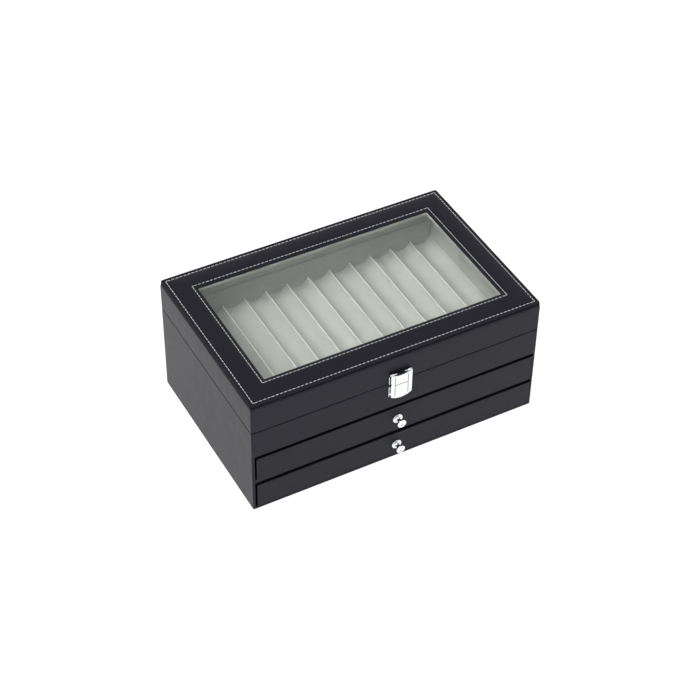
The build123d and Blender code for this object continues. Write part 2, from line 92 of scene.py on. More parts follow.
@dataclass(frozen=True)
class Extent:
    """A box between two corners.

    Attributes:
        low: The corner with the smallest coordinates.
        high: The corner with the largest coordinates.
    """

    low: Point
    high: Point

    @classmethod
    def of_node(cls, node: str) -> "Extent":
        """The box around one CAD node, in millimetres."""
        low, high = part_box(node)
        return cls(tuple(low / MM), tuple(high / MM))

    @classmethod
    def centred(cls, half_x: float, half_y: float, base: float, top: float) -> "Extent":
        """A box centred on the upright axis."""
        return cls((-half_x, -half_y, base), (half_x, half_y, top))

    def resized(
        self, low: dict[int, float] | None = None, high: dict[int, float] | None = None
    ) -> "Extent":
        """The same box with some of its limits replaced.

        Args:
            low: New low limits by axis number.
            high: New high limits by axis number.

        Returns:
            The new extent.
        """
        lows, highs = list(self.low), list(self.high)
        for axis, value in (low or {}).items():
            lows[axis] = value
        for axis, value in (high or {}).items():
            highs[axis] = value
        return Extent(tuple(lows), tuple(highs))


# Modelling by hand in edit mode


def deselect() -> None:
    """Leaves nothing selected, so that an operator acts only on what is chosen next."""
    bpy.ops.object.select_all(action="DESELECT")


def activate(piece: bpy.types.Object) -> None:
    """Selects one piece alone and makes it active.

    Args:
        piece: The piece to work on.
    """
    deselect()
    piece.select_set(True)
    bpy.context.view_layer.objects.active = piece


def settle(name: str) -> bpy.types.Object:
    """Names the new primitive and moves its place, turn and size into its mesh.

    Args:
        name: The piece's name.

    Returns:
        The piece, with its object at the origin.
    """
    piece = bpy.context.object
    piece.name = name
    bpy.ops.object.transform_apply(location=True, rotation=True, scale=True)
    return piece


def block(name: str, extent: Extent) -> bpy.types.Object:
    """A squared blank.

    Args:
        name: The piece's name.
        extent: The box it fills.

    Returns:
        The new piece.
    """
    low, high = Vector(extent.low), Vector(extent.high)
    deselect()
    bpy.ops.mesh.primitive_cube_add(size=1.0, location=(low + high) / 2 * MM)
    bpy.context.object.scale = (high - low) * MM
    return settle(name)


def rod(name: str, radius: float, start: Point, end: Point, sides: int = 48) -> bpy.types.Object:
    """A round bar between two points.

    Args:
        name: The piece's name.
        radius: Its radius.
        start: The middle of one end.
        end: The middle of the other end.
        sides: How many flats go round it.

    Returns:
        The new piece.
    """
    way = Vector(end) - Vector(start)
    middle = (Vector(end) + Vector(start)) / 2
    deselect()
    bpy.ops.mesh.primitive_cylinder_add(
        vertices=sides,
        radius=radius * MM,
        depth=way.length * MM,
        location=middle * MM,
        rotation=way.to_track_quat("Z", "Y").to_euler(),
    )
    return settle(name)


def pick(piece: bpy.types.Object, kind: Pick, test: Callable[..., bool]) -> None:
    """Selects points, edges or faces of a piece in edit mode by their place.

    Args:
        piece: The piece.
        kind: What is selected.
        test: Takes a point, an edge's two ends, or a face's middle and its normal, with places in
            millimetres, and says whether it is wanted.
    """
    mesh = bmesh.from_edit_mesh(piece.data)
    if kind is Pick.POINTS:
        found = [point for point in mesh.verts if test(point.co / MM)]
    elif kind is Pick.EDGES:
        found = [edge for edge in mesh.edges if test(*(end.co / MM for end in edge.verts))]
    else:
        mesh.normal_update()
        found = [face for face in mesh.faces if test(face.calc_center_median() / MM, face.normal)]
    for item in found:
        item.select_set(True)
    if kind is Pick.POINTS:
        mesh.select_flush_mode()
    bmesh.update_edit_mesh(piece.data)


@contextmanager
def editing(
    piece: bpy.types.Object, kind: Pick, test: Callable[..., bool] | None = None
) -> Iterator[None]:
    """Holds a piece in edit mode with all of it selected, or only what a test picks.

    Args:
        piece: The piece to edit.
        kind: What the edit selects.
        test: The test that picks it.

    Yields:
        Nothing; the piece leaves edit mode afterwards.
    """
    activate(piece)
    bpy.ops.object.mode_set(mode="EDIT")
    bpy.ops.mesh.select_mode(type=kind.value)
    bpy.ops.mesh.select_all(action="DESELECT" if test else "SELECT")
    if test:
        pick(piece, kind, test)
    yield
    bpy.ops.object.mode_set(mode="OBJECT")


def round_edges(piece: bpy.types.Object, test: EdgeTest, radius: float, segments: int = 4) -> None:
    """Rounds chosen edges of a piece.

    Args:
        piece: The piece to shape.
        test: Takes both ends of an edge and says whether it is rounded.
        radius: The rounding's radius.
        segments: How many facets make the rounding.
    """
    with editing(piece, Pick.EDGES, test):
        bpy.ops.mesh.bevel(offset=radius * MM, segments=segments, affect="EDGES", clamp_overlap=True)


def nudge_points(piece: bpy.types.Object, test: Callable[[Vector], bool], shift: Point) -> None:
    """Moves chosen points of a piece together.

    Args:
        piece: The piece to shape.
        test: Takes a point and says whether it moves.
        shift: How far they move.
    """
    with editing(piece, Pick.POINTS, test):
        bpy.ops.transform.translate(value=Vector(shift) * MM)


def slice_along(piece: bpy.types.Object, axis: int, places: Sequence[float]) -> None:
    """Cuts new edge loops across a piece.

    Args:
        piece: The piece to cut.
        axis: The axis that the cuts are square to.
        places: Where they lie on it.
    """
    normal = [0.0, 0.0, 0.0]
    normal[axis] = 1.0
    with editing(piece, Pick.FACES):
        for place in places:
            bpy.ops.mesh.select_all(action="SELECT")
            bpy.ops.mesh.bisect(plane_co=Vector(normal) * place * MM, plane_no=normal)


def apply_modifier(piece: bpy.types.Object, kind: str, **settings: object) -> None:
    """Adds a modifier with its settings and applies it.

    Args:
        piece: The piece to change.
        kind: The modifier's type.
        **settings: The modifier's properties.
    """
    activate(piece)
    modifier = piece.modifiers.new(kind, kind)
    for name, value in settings.items():
        setattr(modifier, name, value)
    bpy.ops.object.modifier_apply(modifier=modifier.name)


def shape_with(piece: bpy.types.Object, tool: bpy.types.Object, operation: str = "DIFFERENCE") -> None:
    """Cuts a piece with a tool, which is used up.

    Args:
        piece: The piece to cut.
        tool: The cutter, or the form to keep.
        operation: DIFFERENCE, INTERSECT or UNION.
    """
    apply_modifier(piece, "BOOLEAN", operation=operation, object=tool, solver="EXACT")
    bpy.data.objects.remove(tool, do_unlink=True)


def cut_block(piece: bpy.types.Object, extent: Extent) -> None:
    """Cuts a squared pocket out of a piece."""
    shape_with(piece, block("cutter", extent))


def soften(piece: bpy.types.Object, radius: float, segments: int = 3, angle: float = 35.0) -> None:
    """Rounds every edge that is sharper than an angle.

    Args:
        piece: The piece to soften.
        radius: The rounding's radius.
        segments: How many facets make the rounding.
        angle: The angle in degrees.
    """
    apply_modifier(
        piece,
        "BEVEL",
        width=radius * MM,
        segments=segments,
        limit_method="ANGLE",
        angle_limit=math.radians(angle),
        use_clamp_overlap=True,
    )


def finish_surface(piece: bpy.types.Object, angle: float = 32.0) -> None:
    """Turns the faces outwards and shades the piece smooth up to an angle, with flat faces kept flat.

    Args:
        piece: The piece to finish.
        angle: The angle in degrees past which an edge stays sharp.
    """
    loose = 0.002
    with editing(piece, Pick.FACES):
        bpy.ops.mesh.remove_doubles(threshold=loose * MM)
        bpy.ops.mesh.normals_make_consistent(inside=False)
    activate(piece)
    bpy.ops.object.shade_smooth_by_angle(angle=math.radians(angle))
    apply_modifier(piece, "WEIGHTED_NORMAL", keep_sharp=True)


def join(name: str, pieces: Sequence[bpy.types.Object]) -> bpy.types.Object:
    """Makes one piece of several.

    Args:
        name: The piece's name.
        pieces: The pieces to join.

    Returns:
        The joined piece.
    """
    deselect()
    for piece in pieces:
        piece.select_set(True)
    bpy.context.view_layer.objects.active = pieces[0]
    bpy.ops.object.join()
    pieces[0].name = name
    return pieces[0]


def turned(
    name: str, profile: Sequence[tuple[float, float]], sides: int, closed: bool = True
) -> bpy.types.Object:
    """A piece turned on a lathe, standing on the origin along +Z.

    Args:
        name: The piece's name.
        profile: Radius and height of each ring, from the first end to the last.
        sides: How many flats go round it.
        closed: Whether its ends are closed, or it is only the wall between them.

    Returns:
        The new piece.
    """
    radius, height = profile[0]
    deselect()
    bpy.ops.mesh.primitive_circle_add(
        vertices=sides,
        radius=radius * MM,
        fill_type="NGON" if closed else "NOTHING",
        location=(0, 0, height * MM),
    )
    piece = settle(name)
    extrude = bpy.ops.mesh.extrude_region_move if closed else bpy.ops.mesh.extrude_edges_move
    with editing(piece, Pick.FACES if closed else Pick.EDGES):
        for next_radius, next_height in profile[1:]:
            extrude(TRANSFORM_OT_translate={"value": (0, 0, (next_height - height) * MM)})
            share = next_radius / radius
            centre = (0, 0, next_height * MM)
            bpy.ops.transform.resize(value=(share, share, 1), center_override=centre)
            radius, height = next_radius, next_height
    return piece


def stand(
    piece: bpy.types.Object, place: Point = ORIGIN, tilt: Point = ORIGIN, scale: Point = (1.0, 1.0, 1.0)
) -> bpy.types.Object:
    """Turns and scales a piece about the origin and sets it in its place.

    Args:
        piece: The piece.
        place: Where its origin goes.
        tilt: Its turn about X, Y and Z in degrees.
        scale: Its scale along X, Y and Z before the turn.

    Returns:
        The same piece, with its object back at the origin.
    """
    activate(piece)
    piece.scale = scale
    piece.rotation_euler = tuple(math.radians(angle) for angle in tilt)
    piece.location = Vector(place) * MM
    bpy.ops.object.transform_apply(location=True, rotation=True, scale=True)
    return piece


def soft_board(name: str, extent: Extent, radius: float, segments: int = 3) -> bpy.types.Object:
    """A board wrapped in cloth or paper, so that every edge is rounded.

    Args:
        name: The piece's name.
        extent: The box it fills.
        radius: How round its edges are.
        segments: How many facets make the rounding.

    Returns:
        The finished board.
    """
    board = block(name, extent)
    soften(board, radius, segments)
    finish_surface(board)
    return board


# Finishes


def linear(colour: str) -> tuple[float, float, float, float]:
    """Turns an sRGB hex colour to the linear values that Blender's shaders take, with an alpha of one."""
    values = [int(colour[i : i + 2], 16) / 255 for i in (1, 3, 5)]
    return tuple(v / 12.92 if v <= 0.04045 else ((v + 0.055) / 1.055) ** 2.4 for v in values) + (1.0,)


def per_mm(size: float) -> float:
    """The pattern scale whose features are about this many millimetres across."""
    return 1.0 / (size * MM)


def add_node(
    tree: bpy.types.NodeTree, kind: str, inputs: dict[str | int, object] | None = None, **settings: object
) -> bpy.types.Node:
    """Adds a shader node with its settings, values and links.

    Args:
        tree: The node tree.
        kind: The node's type.
        inputs: For each input, by name or number, a value, another node's output, or another node
            whose first output is meant.
        **settings: The node's own properties.

    Returns:
        The new node.
    """
    node = tree.nodes.new(kind)
    for name, value in settings.items():
        setattr(node, name, value)
    for key, value in (inputs or {}).items():
        if isinstance(value, bpy.types.Node):
            value = value.outputs[0]
        if isinstance(value, bpy.types.NodeSocket):
            tree.links.new(value, node.inputs[key])
        else:
            node.inputs[key].default_value = value
    return node


@dataclass(frozen=True)
class Finish:
    """What every finish has: a name and a main colour.

    Attributes:
        name: The real material and how it was made.
        colour: Its sRGB colour.
    """

    name: str
    colour: str

    def material(self) -> bpy.types.Material:
        """Makes the material once and gives the same one afterwards.

        Returns:
            The material.
        """
        known = bpy.data.materials.get(self.name)
        if known:
            return known
        made = bpy.data.materials.new(self.name)
        made.use_nodes = True
        made.node_tree.nodes.clear()
        self.build(made.node_tree)
        return made

    def build(self, tree: bpy.types.NodeTree) -> None:
        """Builds the shader in an empty node tree."""
        raise NotImplementedError

    def output(self, tree: bpy.types.NodeTree, surface: bpy.types.Node) -> None:
        """Ends the tree in its output, which shows the finished shader."""
        add_node(tree, "ShaderNodeOutputMaterial", {"Surface": surface})

    def place(self, tree: bpy.types.NodeTree) -> bpy.types.NodeSocket:
        """Where a point lies on the piece, in metres."""
        return add_node(tree, "ShaderNodeTexCoord").outputs["Object"]


@dataclass(frozen=True)
class Leatherette(Finish):
    """Embossed polyurethane leatherette, calendered with a fine pebble grain and glued over board.

    The grain breaks the gloss into a soft satin sheen, which turns to a clear grey reflection of the
    surroundings where the eye meets the surface at a low angle.

    Attributes:
        worn: The colour of the tops of the grain.
        grain: How wide a pebble of the grain is.
        relief: How deep the creases between the pebbles are.
        wave: How wide the slow unevenness of the glued sheet is.
        wave_relief: How deep that unevenness is.
        gloss: The least and the greatest roughness.
    """

    worn: str = "#16161C"
    grain: float = 1.1
    relief: float = 0.035
    wave: float = 55.0
    wave_relief: float = 0.01
    gloss: tuple[float, float] = (0.37, 0.41)

    def build(self, tree: bpy.types.NodeTree) -> None:
        """Builds grain, creases, a slow wave and uneven gloss.

        Args:
            tree: The empty node tree.
        """
        place = self.place(tree)
        drift = add_node(
            tree, "ShaderNodeTexNoise", {"Vector": place, "Scale": per_mm(3 * self.grain), "Detail": 2.0}
        )
        shifted = add_node(
            tree,
            "ShaderNodeMix",
            {"Factor": 0.0006, "A": place, "B": drift.outputs["Color"]},
            data_type="VECTOR",
        )
        pebble = add_node(
            tree,
            "ShaderNodeTexVoronoi",
            {"Vector": shifted.outputs["Result"], "Scale": per_mm(self.grain), "Smoothness": 0.6},
            feature="SMOOTH_F1",
        )
        pores = add_node(
            tree, "ShaderNodeTexNoise", {"Vector": place, "Scale": per_mm(0.35), "Detail": 3.0}
        )
        height = add_node(
            tree, "ShaderNodeMath", {0: pebble.outputs["Distance"], 1: pores}, operation="SUBTRACT"
        )
        wave = add_node(
            tree, "ShaderNodeTexNoise", {"Vector": place, "Scale": per_mm(self.wave), "Detail": 1.0}
        )
        slow = add_node(
            tree, "ShaderNodeBump", {"Strength": 1.0, "Distance": self.wave_relief * MM, "Height": wave}
        )
        creased = add_node(
            tree,
            "ShaderNodeBump",
            {"Strength": 0.5, "Distance": self.relief * MM, "Height": height, "Normal": slow},
            invert=True,
        )
        patches = add_node(
            tree, "ShaderNodeTexNoise", {"Vector": place, "Scale": per_mm(9.0), "Detail": 4.0}
        )
        gloss = add_node(
            tree,
            "ShaderNodeMapRange",
            {
                "Value": patches,
                "From Min": 0.3,
                "From Max": 0.7,
                "To Min": self.gloss[0],
                "To Max": self.gloss[1],
            },
        )
        colour = add_node(
            tree,
            "ShaderNodeMix",
            {"Factor": pebble.outputs["Distance"], "A": linear(self.worn), "B": linear(self.colour)},
            data_type="RGBA",
        )
        shader = add_node(
            tree,
            "ShaderNodeBsdfPrincipled",
            {
                "Base Color": colour.outputs["Result"],
                "Roughness": gloss,
                "IOR": 1.34,
                "Specular Tint": (0.82, 0.79, 1.0, 1.0),
                "Normal": creased,
            },
        )
        self.output(tree, shader)


@dataclass(frozen=True)
class FlockedSuede(Finish):
    """Flocked microfibre suede, short nylon fibres stood in glue on a backing.

    The fibres lean in patches, so the cloth is lighter here and darker there, and its nap catches a
    soft light at low angles.

    Attributes:
        shade: The colour where the nap leans away.
        fibre: How wide a tuft of fibres is; single fibres are finer than a render shows.
        brushed: How wide a brushed patch is.
    """

    shade: str = "#999A94"
    fibre: float = 0.5
    brushed: float = 16.0

    def build(self, tree: bpy.types.NodeTree) -> None:
        """Builds tufts, brushed patches and the nap's sheen.

        Args:
            tree: The empty node tree.
        """
        place = self.place(tree)
        tufts = add_node(
            tree, "ShaderNodeTexNoise", {"Vector": place, "Scale": per_mm(self.fibre), "Detail": 4.0}
        )
        patches = add_node(
            tree,
            "ShaderNodeTexNoise",
            {"Vector": place, "Scale": per_mm(self.brushed), "Detail": 3.0, "Distortion": 0.6},
        )
        blend = add_node(tree, "ShaderNodeMath", {0: patches, 1: tufts}, operation="MULTIPLY")
        share = add_node(tree, "ShaderNodeMapRange", {"Value": blend, "From Min": 0.12, "From Max": 0.4})
        colour = add_node(
            tree,
            "ShaderNodeMix",
            {"Factor": share, "A": linear(self.shade), "B": linear(self.colour)},
            data_type="RGBA",
        )
        nap = add_node(tree, "ShaderNodeBump", {"Strength": 0.6, "Distance": 0.08 * MM, "Height": tufts})
        shader = add_node(
            tree,
            "ShaderNodeBsdfPrincipled",
            {
                "Base Color": colour.outputs["Result"],
                "Roughness": 0.95,
                "IOR": 1.45,
                "Specular IOR Level": 0.2,
                "Sheen Weight": 0.25,
                "Sheen Roughness": 0.5,
                "Normal": nap,
            },
        )
        self.output(tree, shader)


@dataclass(frozen=True)
class PlatedMetal(Finish):
    """Metal with a plated or polished skin.

    Buffing leaves a faint haze of cloudy roughness, so that reflections stay sharp but not perfect.

    Attributes:
        polish: The least and the greatest roughness.
        cloud: How wide the haze's patches are.
        ripple: How deep the buffed surface waves.
    """

    polish: tuple[float, float] = (0.05, 0.12)
    cloud: float = 2.5
    ripple: float = 0.004

    def build(self, tree: bpy.types.NodeTree) -> None:
        """Builds a cloudy polish and a slight ripple.

        Args:
            tree: The empty node tree.
        """
        place = self.place(tree)
        haze = add_node(
            tree, "ShaderNodeTexNoise", {"Vector": place, "Scale": per_mm(self.cloud), "Detail": 5.0}
        )
        polish = add_node(
            tree,
            "ShaderNodeMapRange",
            {
                "Value": haze,
                "From Min": 0.3,
                "From Max": 0.7,
                "To Min": self.polish[0],
                "To Max": self.polish[1],
            },
        )
        ripple = add_node(
            tree, "ShaderNodeBump", {"Strength": 0.5, "Distance": self.ripple * MM, "Height": haze}
        )
        shader = add_node(
            tree,
            "ShaderNodeBsdfPrincipled",
            {"Base Color": linear(self.colour), "Metallic": 1.0, "Roughness": polish, "Normal": ripple},
        )
        self.output(tree, shader)


@dataclass(frozen=True)
class FloatGlass(Finish):
    """Clear float glass, which lets the lamps through to the tray below it.

    Its faces reflect a little of the surroundings, more at low angles, and its cut edges show the
    faint green of iron in the melt.

    Attributes:
        haze: The roughness of its faces.
    """

    haze: float = 0.01

    def build(self, tree: bpy.types.NodeTree) -> None:
        """Builds clear glass that casts no shadow of its own.

        Args:
            tree: The empty node tree.
        """
        place = self.place(tree)
        flow = add_node(
            tree, "ShaderNodeTexNoise", {"Vector": place, "Scale": per_mm(90.0), "Detail": 1.0}
        )
        level = add_node(tree, "ShaderNodeBump", {"Strength": 0.3, "Distance": 0.02 * MM, "Height": flow})
        glass = add_node(
            tree,
            "ShaderNodeBsdfPrincipled",
            {
                "Base Color": linear(self.colour),
                "Roughness": self.haze,
                "IOR": 1.5,
                "Transmission Weight": 1.0,
                "Normal": level,
            },
        )
        clear = add_node(tree, "ShaderNodeBsdfTransparent", {"Color": linear(self.colour)})
        path = add_node(tree, "ShaderNodeLightPath")
        both = add_node(
            tree, "ShaderNodeMixShader", {0: path.outputs["Is Shadow Ray"], 1: glass, 2: clear}
        )
        self.output(tree, both)


@dataclass(frozen=True)
class LiningPaper(Finish):
    """Black paper glued over fibreboard.

    It is matt, and its fibres show as a fine grey fleck.

    Attributes:
        fleck: The colour of the fibres.
        fibre: How wide a fleck is.
    """

    fleck: str = "#17171A"
    fibre: float = 0.9

    def build(self, tree: bpy.types.NodeTree) -> None:
        """Builds flecked, matt paper.

        Args:
            tree: The empty node tree.
        """
        place = self.place(tree)
        pulp = add_node(
            tree,
            "ShaderNodeTexNoise",
            {"Vector": place, "Scale": per_mm(self.fibre), "Detail": 6.0, "Distortion": 1.2},
        )
        share = add_node(tree, "ShaderNodeMapRange", {"Value": pulp, "From Min": 0.5, "From Max": 0.75})
        colour = add_node(
            tree,
            "ShaderNodeMix",
            {"Factor": share, "A": linear(self.colour), "B": linear(self.fleck)},
            data_type="RGBA",
        )
        tooth = add_node(tree, "ShaderNodeBump", {"Strength": 0.4, "Distance": 0.03 * MM, "Height": pulp})
        shader = add_node(
            tree,
            "ShaderNodeBsdfPrincipled",
            {
                "Base Color": colour.outputs["Result"],
                "Roughness": 0.9,
                "IOR": 1.45,
                "Specular IOR Level": 0.2,
                "Normal": tooth,
            },
        )
        self.output(tree, shader)


@dataclass(frozen=True)
class PressedFelt(Finish):
    """Felt of pressed wool fibres, cut from a sheet.

    It swallows light, and its surface is a tangle of short hairs.

    Attributes:
        fibre: How wide a clump of hairs is.
    """

    fibre: float = 0.7

    def build(self, tree: bpy.types.NodeTree) -> None:
        """Builds a matt tangle.

        Args:
            tree: The empty node tree.
        """
        place = self.place(tree)
        hairs = add_node(
            tree,
            "ShaderNodeTexNoise",
            {"Vector": place, "Scale": per_mm(self.fibre), "Detail": 6.0, "Distortion": 2.0},
        )
        tangle = add_node(
            tree, "ShaderNodeBump", {"Strength": 0.8, "Distance": 0.15 * MM, "Height": hairs}
        )
        shader = add_node(
            tree,
            "ShaderNodeBsdfPrincipled",
            {"Base Color": linear(self.colour), "Roughness": 1.0, "Sheen Weight": 0.2, "Normal": tangle},
        )
        self.output(tree, shader)


@dataclass(frozen=True)
class WaxedThread(Finish):
    """Waxed polyester thread, twisted from strands.

    The twist shows as slanting ridges, painted a little darker between the strands as painted shade.

    Attributes:
        groove: The colour between the strands, darker as painted shade.
        twist: How far apart the strands lie.
    """

    groove: str = "#B4B5B6"
    twist: float = 0.45

    def build(self, tree: bpy.types.NodeTree) -> None:
        """Builds slanting strands with painted shade between them.

        Args:
            tree: The empty node tree.
        """
        place = self.place(tree)
        slant = add_node(
            tree, "ShaderNodeMapping", {"Vector": place, "Rotation": (0.0, 0.0, math.radians(45.0))}
        )
        strands = add_node(
            tree,
            "ShaderNodeTexWave",
            {"Vector": slant, "Scale": per_mm(self.twist) / math.tau, "Distortion": 0.5},
        )
        # The darker colour between the strands is painted shade.
        colour = add_node(
            tree,
            "ShaderNodeMix",
            {"Factor": strands.outputs["Fac"], "A": linear(self.groove), "B": linear(self.colour)},
            data_type="RGBA",
        )
        ridges = add_node(
            tree,
            "ShaderNodeBump",
            {"Strength": 0.5, "Distance": 0.05 * MM, "Height": strands.outputs["Fac"]},
        )
        shader = add_node(
            tree,
            "ShaderNodeBsdfPrincipled",
            {
                "Base Color": colour.outputs["Result"],
                "Roughness": 0.6,
                "Sheen Weight": 0.15,
                "Normal": ridges,
            },
        )
        self.output(tree, shader)


@dataclass(frozen=True)
class Palette:
    """Every finish on the box.

    Attributes:
        leather: The covering outside.
        suede: The lining and the trays.
        ridge_highlight: Lighter suede along the trays' ridges, a painted highlight.
        paper: The boards that no leather covers.
        glass: The window.
        chrome: The clasp and the knobs.
        nickel: The hinges.
        steel: The screws and pins.
        felt: The sheet under the box.
        thread: The stitching.
    """

    leather: Finish = Leatherette("embossed polyurethane leatherette", "#0E0E13")
    suede: Finish = FlockedSuede("flocked microfibre suede", "#A2A39D")
    # Suede painted lighter for the strips along the trays' ridges: a painted highlight.
    ridge_highlight: Finish = FlockedSuede("suede painted lighter as a ridge highlight", "#DBDCD7", shade="#CFD0CA")
    paper: Finish = LiningPaper("black lining paper", "#0C0C0E")
    glass: Finish = FloatGlass("clear float glass", "#FDFEFD")
    chrome: Finish = PlatedMetal("bright chrome plate", "#F6F7F8")
    nickel: Finish = PlatedMetal("nickel plated steel", "#CFCAC0", polish=(0.16, 0.26))
    steel: Finish = PlatedMetal("zinc plated steel", "#B9BDC2", polish=(0.24, 0.36), cloud=1.2)
    felt: Finish = PressedFelt("pressed black felt", "#18181A")
    thread: Finish = WaxedThread("waxed off-white thread", "#DEDFE0")


@dataclass
class SubAssembly:
    """A group of pieces that are built and dressed together.

    Attributes:
        palette: The finishes.
        body: The body that the pieces ride on.
    """

    palette: Palette
    body: Body

    def mount(self, piece: bpy.types.Object, slot: Slot, finish: Finish, *nodes: str) -> bpy.types.Object:
        """Dresses a finished piece, fixes it to its body and hides the CAD nodes it stands for.

        Args:
            piece: The piece, in place.
            slot: Not used.
            finish: Its finish.
            *nodes: The CAD nodes that it replaces.

        Returns:
            The same piece.
        """
        piece.data.materials.clear()
        piece.data.materials.append(finish.material())
        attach(piece, self.body.value)
        if nodes:
            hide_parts(*nodes)
        LOG.info("%s: %s in %s", self.body.value, piece.name, finish.name)
        return piece

    def dress(self, finish: Finish, *nodes: str) -> None:
        """Gives CAD nodes a finish.

        Args:
            finish: The finish.
            *nodes: The nodes' names.
        """
        for name in nodes:
            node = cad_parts[name]
            node.data.materials.clear()
            node.data.materials.append(finish.material())
            LOG.info("%s: CAD node %s in %s", self.body.value, name, finish.name)

    def refined(self, name: str, node: str, radius: float) -> bpy.types.Object:
        """A copy of a small CAD fitting with its edges eased, as barrel polishing leaves them.

        Args:
            name: The new piece's name.
            node: The CAD node.
            radius: How far the edges are eased.

        Returns:
            The new piece.
        """
        loose, flat = 0.005, 1.0
        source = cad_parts[node]
        piece = bpy.data.objects.new(name, source.data.copy())
        bpy.context.scene.collection.objects.link(piece)
        piece.matrix_world = source.matrix_world
        with editing(piece, Pick.FACES):
            bpy.ops.mesh.remove_doubles(threshold=loose * MM)
            bpy.ops.mesh.dissolve_limited(angle_limit=math.radians(flat))
        soften(piece, radius, 2)
        finish_surface(piece)
        return piece


def opening_edges(extent: Extent, axis: int, level: float) -> EdgeTest:
    """A test for the edges round an opening in a flat face.

    Args:
        extent: The opening's box.
        axis: The axis that the face is square to.
        level: Where the face lies on it.

    Returns:
        The test, which takes both ends of an edge.
    """
    others = [i for i in range(3) if i != axis]

    def on_rim(point: Vector) -> bool:
        """Whether a point lies on the opening's rim."""
        if abs(point[axis] - level) > NEAR:
            return False
        inside = all(extent.low[i] - NEAR < point[i] < extent.high[i] + NEAR for i in others)
        edge = any(abs(point[i] - side[i]) < NEAR for i in others for side in (extent.low, extent.high))
        return inside and edge

    return lambda a, b: on_rim(a) and on_rim(b) and on_rim((a + b) / 2)


def outline_edges(half_x: float, half_y: float, level: float) -> EdgeTest:
    """A test for the level edges round the outside of the box.

    Args:
        half_x: Half the width of the outline.
        half_y: Half its depth.
        level: Its height.

    Returns:
        The test, which takes both ends of an edge.
    """
    corner = 3.0

    def outside(point: Vector) -> bool:
        """Whether a point lies on the outline, or on one of its rounded corners."""
        on_side = abs(abs(point.x) - half_x) < NEAR or abs(abs(point.y) - half_y) < NEAR
        in_corner = abs(point.x) > half_x - corner and abs(point.y) > half_y - corner
        return abs(point.z - level) < NEAR and (on_side or in_corner)

    return lambda a, b: outside(a) and outside(b) and outside((a + b) / 2)


def upright_corners(half_x: float, half_y: float) -> EdgeTest:
    """A test for the upright edges at the outer corners.

    Args:
        half_x: Half the width.
        half_y: Half the depth.

    Returns:
        The test, which takes both ends of an edge.
    """
    least = 1.0

    def at_corner(point: Vector) -> bool:
        """Whether a point lies on an outer corner."""
        return abs(abs(point.x) - half_x) < NEAR and abs(abs(point.y) - half_y) < NEAR

    return lambda a, b: at_corner(a) and at_corner(b) and abs(a.z - b.z) > least


@dataclass
class Wrap(SubAssembly):
    """A leather band glued round four boards, turned over the rim and closed by a seam at the back.

    Attributes:
        corner: The radius of its upright corners.
        rolled: How round its lower and upper edges are.
        turned_in: The thickness of the leather where it is turned over the rim.
        seam: The width of the butt seam.
        seat: How high a hinge leaf's seat is.
        lining_edge: How round the lining boards' edges are.
    """

    corner: float = 1.6
    rolled: tuple[float, float] = (0.75, 0.75)
    turned_in: float = 0.1
    seam: float = 0.35
    seat: float = 2.95
    lining_edge: float = 0.9

    def blank(self, name: str, extent: Extent) -> bpy.types.Object:
        """The band's outside, still solid.

        Args:
            name: The piece's name.
            extent: The box it fills.

        Returns:
            The blank with its outer edges rounded.
        """
        half_x, half_y = extent.high[0], extent.high[1]
        piece = block(name, extent)
        round_edges(piece, upright_corners(half_x, half_y), self.corner, 6)
        for level, radius in zip((extent.low[2], extent.high[2]), self.rolled):
            round_edges(piece, outline_edges(half_x, half_y, level), radius, 3)
        return piece

    def cut_seam(self, piece: bpy.types.Object, extent: Extent) -> None:
        """Cuts the fine groove where the leather's two ends meet.

        Args:
            piece: The band.
            extent: The box it fills.
        """
        half, back = self.seam / 2, extent.high[1]
        low = (-half, back - self.seam, extent.low[2] - OVER)
        cut_block(piece, Extent(low, (half, back + OVER, extent.high[2] + OVER)))

    def cut_mortises(self, piece: bpy.types.Object, base: float, top: float) -> None:
        """Cuts the seats of the hinge leaves.

        Args:
            piece: The band.
            base: The seats' lowest level.
            top: Their highest level.
        """
        play, past_back = 0.1, 112.0
        for side in ("left", "right"):
            leaf = Extent.of_node(f"hinge_case_leaf_{side}")
            low = (leaf.low[0] - play, leaf.low[1] - play, base)
            cut_block(piece, Extent(low, (leaf.high[0] + play, past_back, top)))

    def linings(self) -> None:
        """The four suede-covered boards that stand above the rim or hang in the lid."""
        for side in SIDES:
            node = f"{self.body.value}_liner_{side}"
            name = f"{self.body.value}_lining_{side}"
            board = soft_board(name, Extent.of_node(node), self.lining_edge, 4)
            self.mount(board, Slot.SUEDE, self.palette.suede, node)


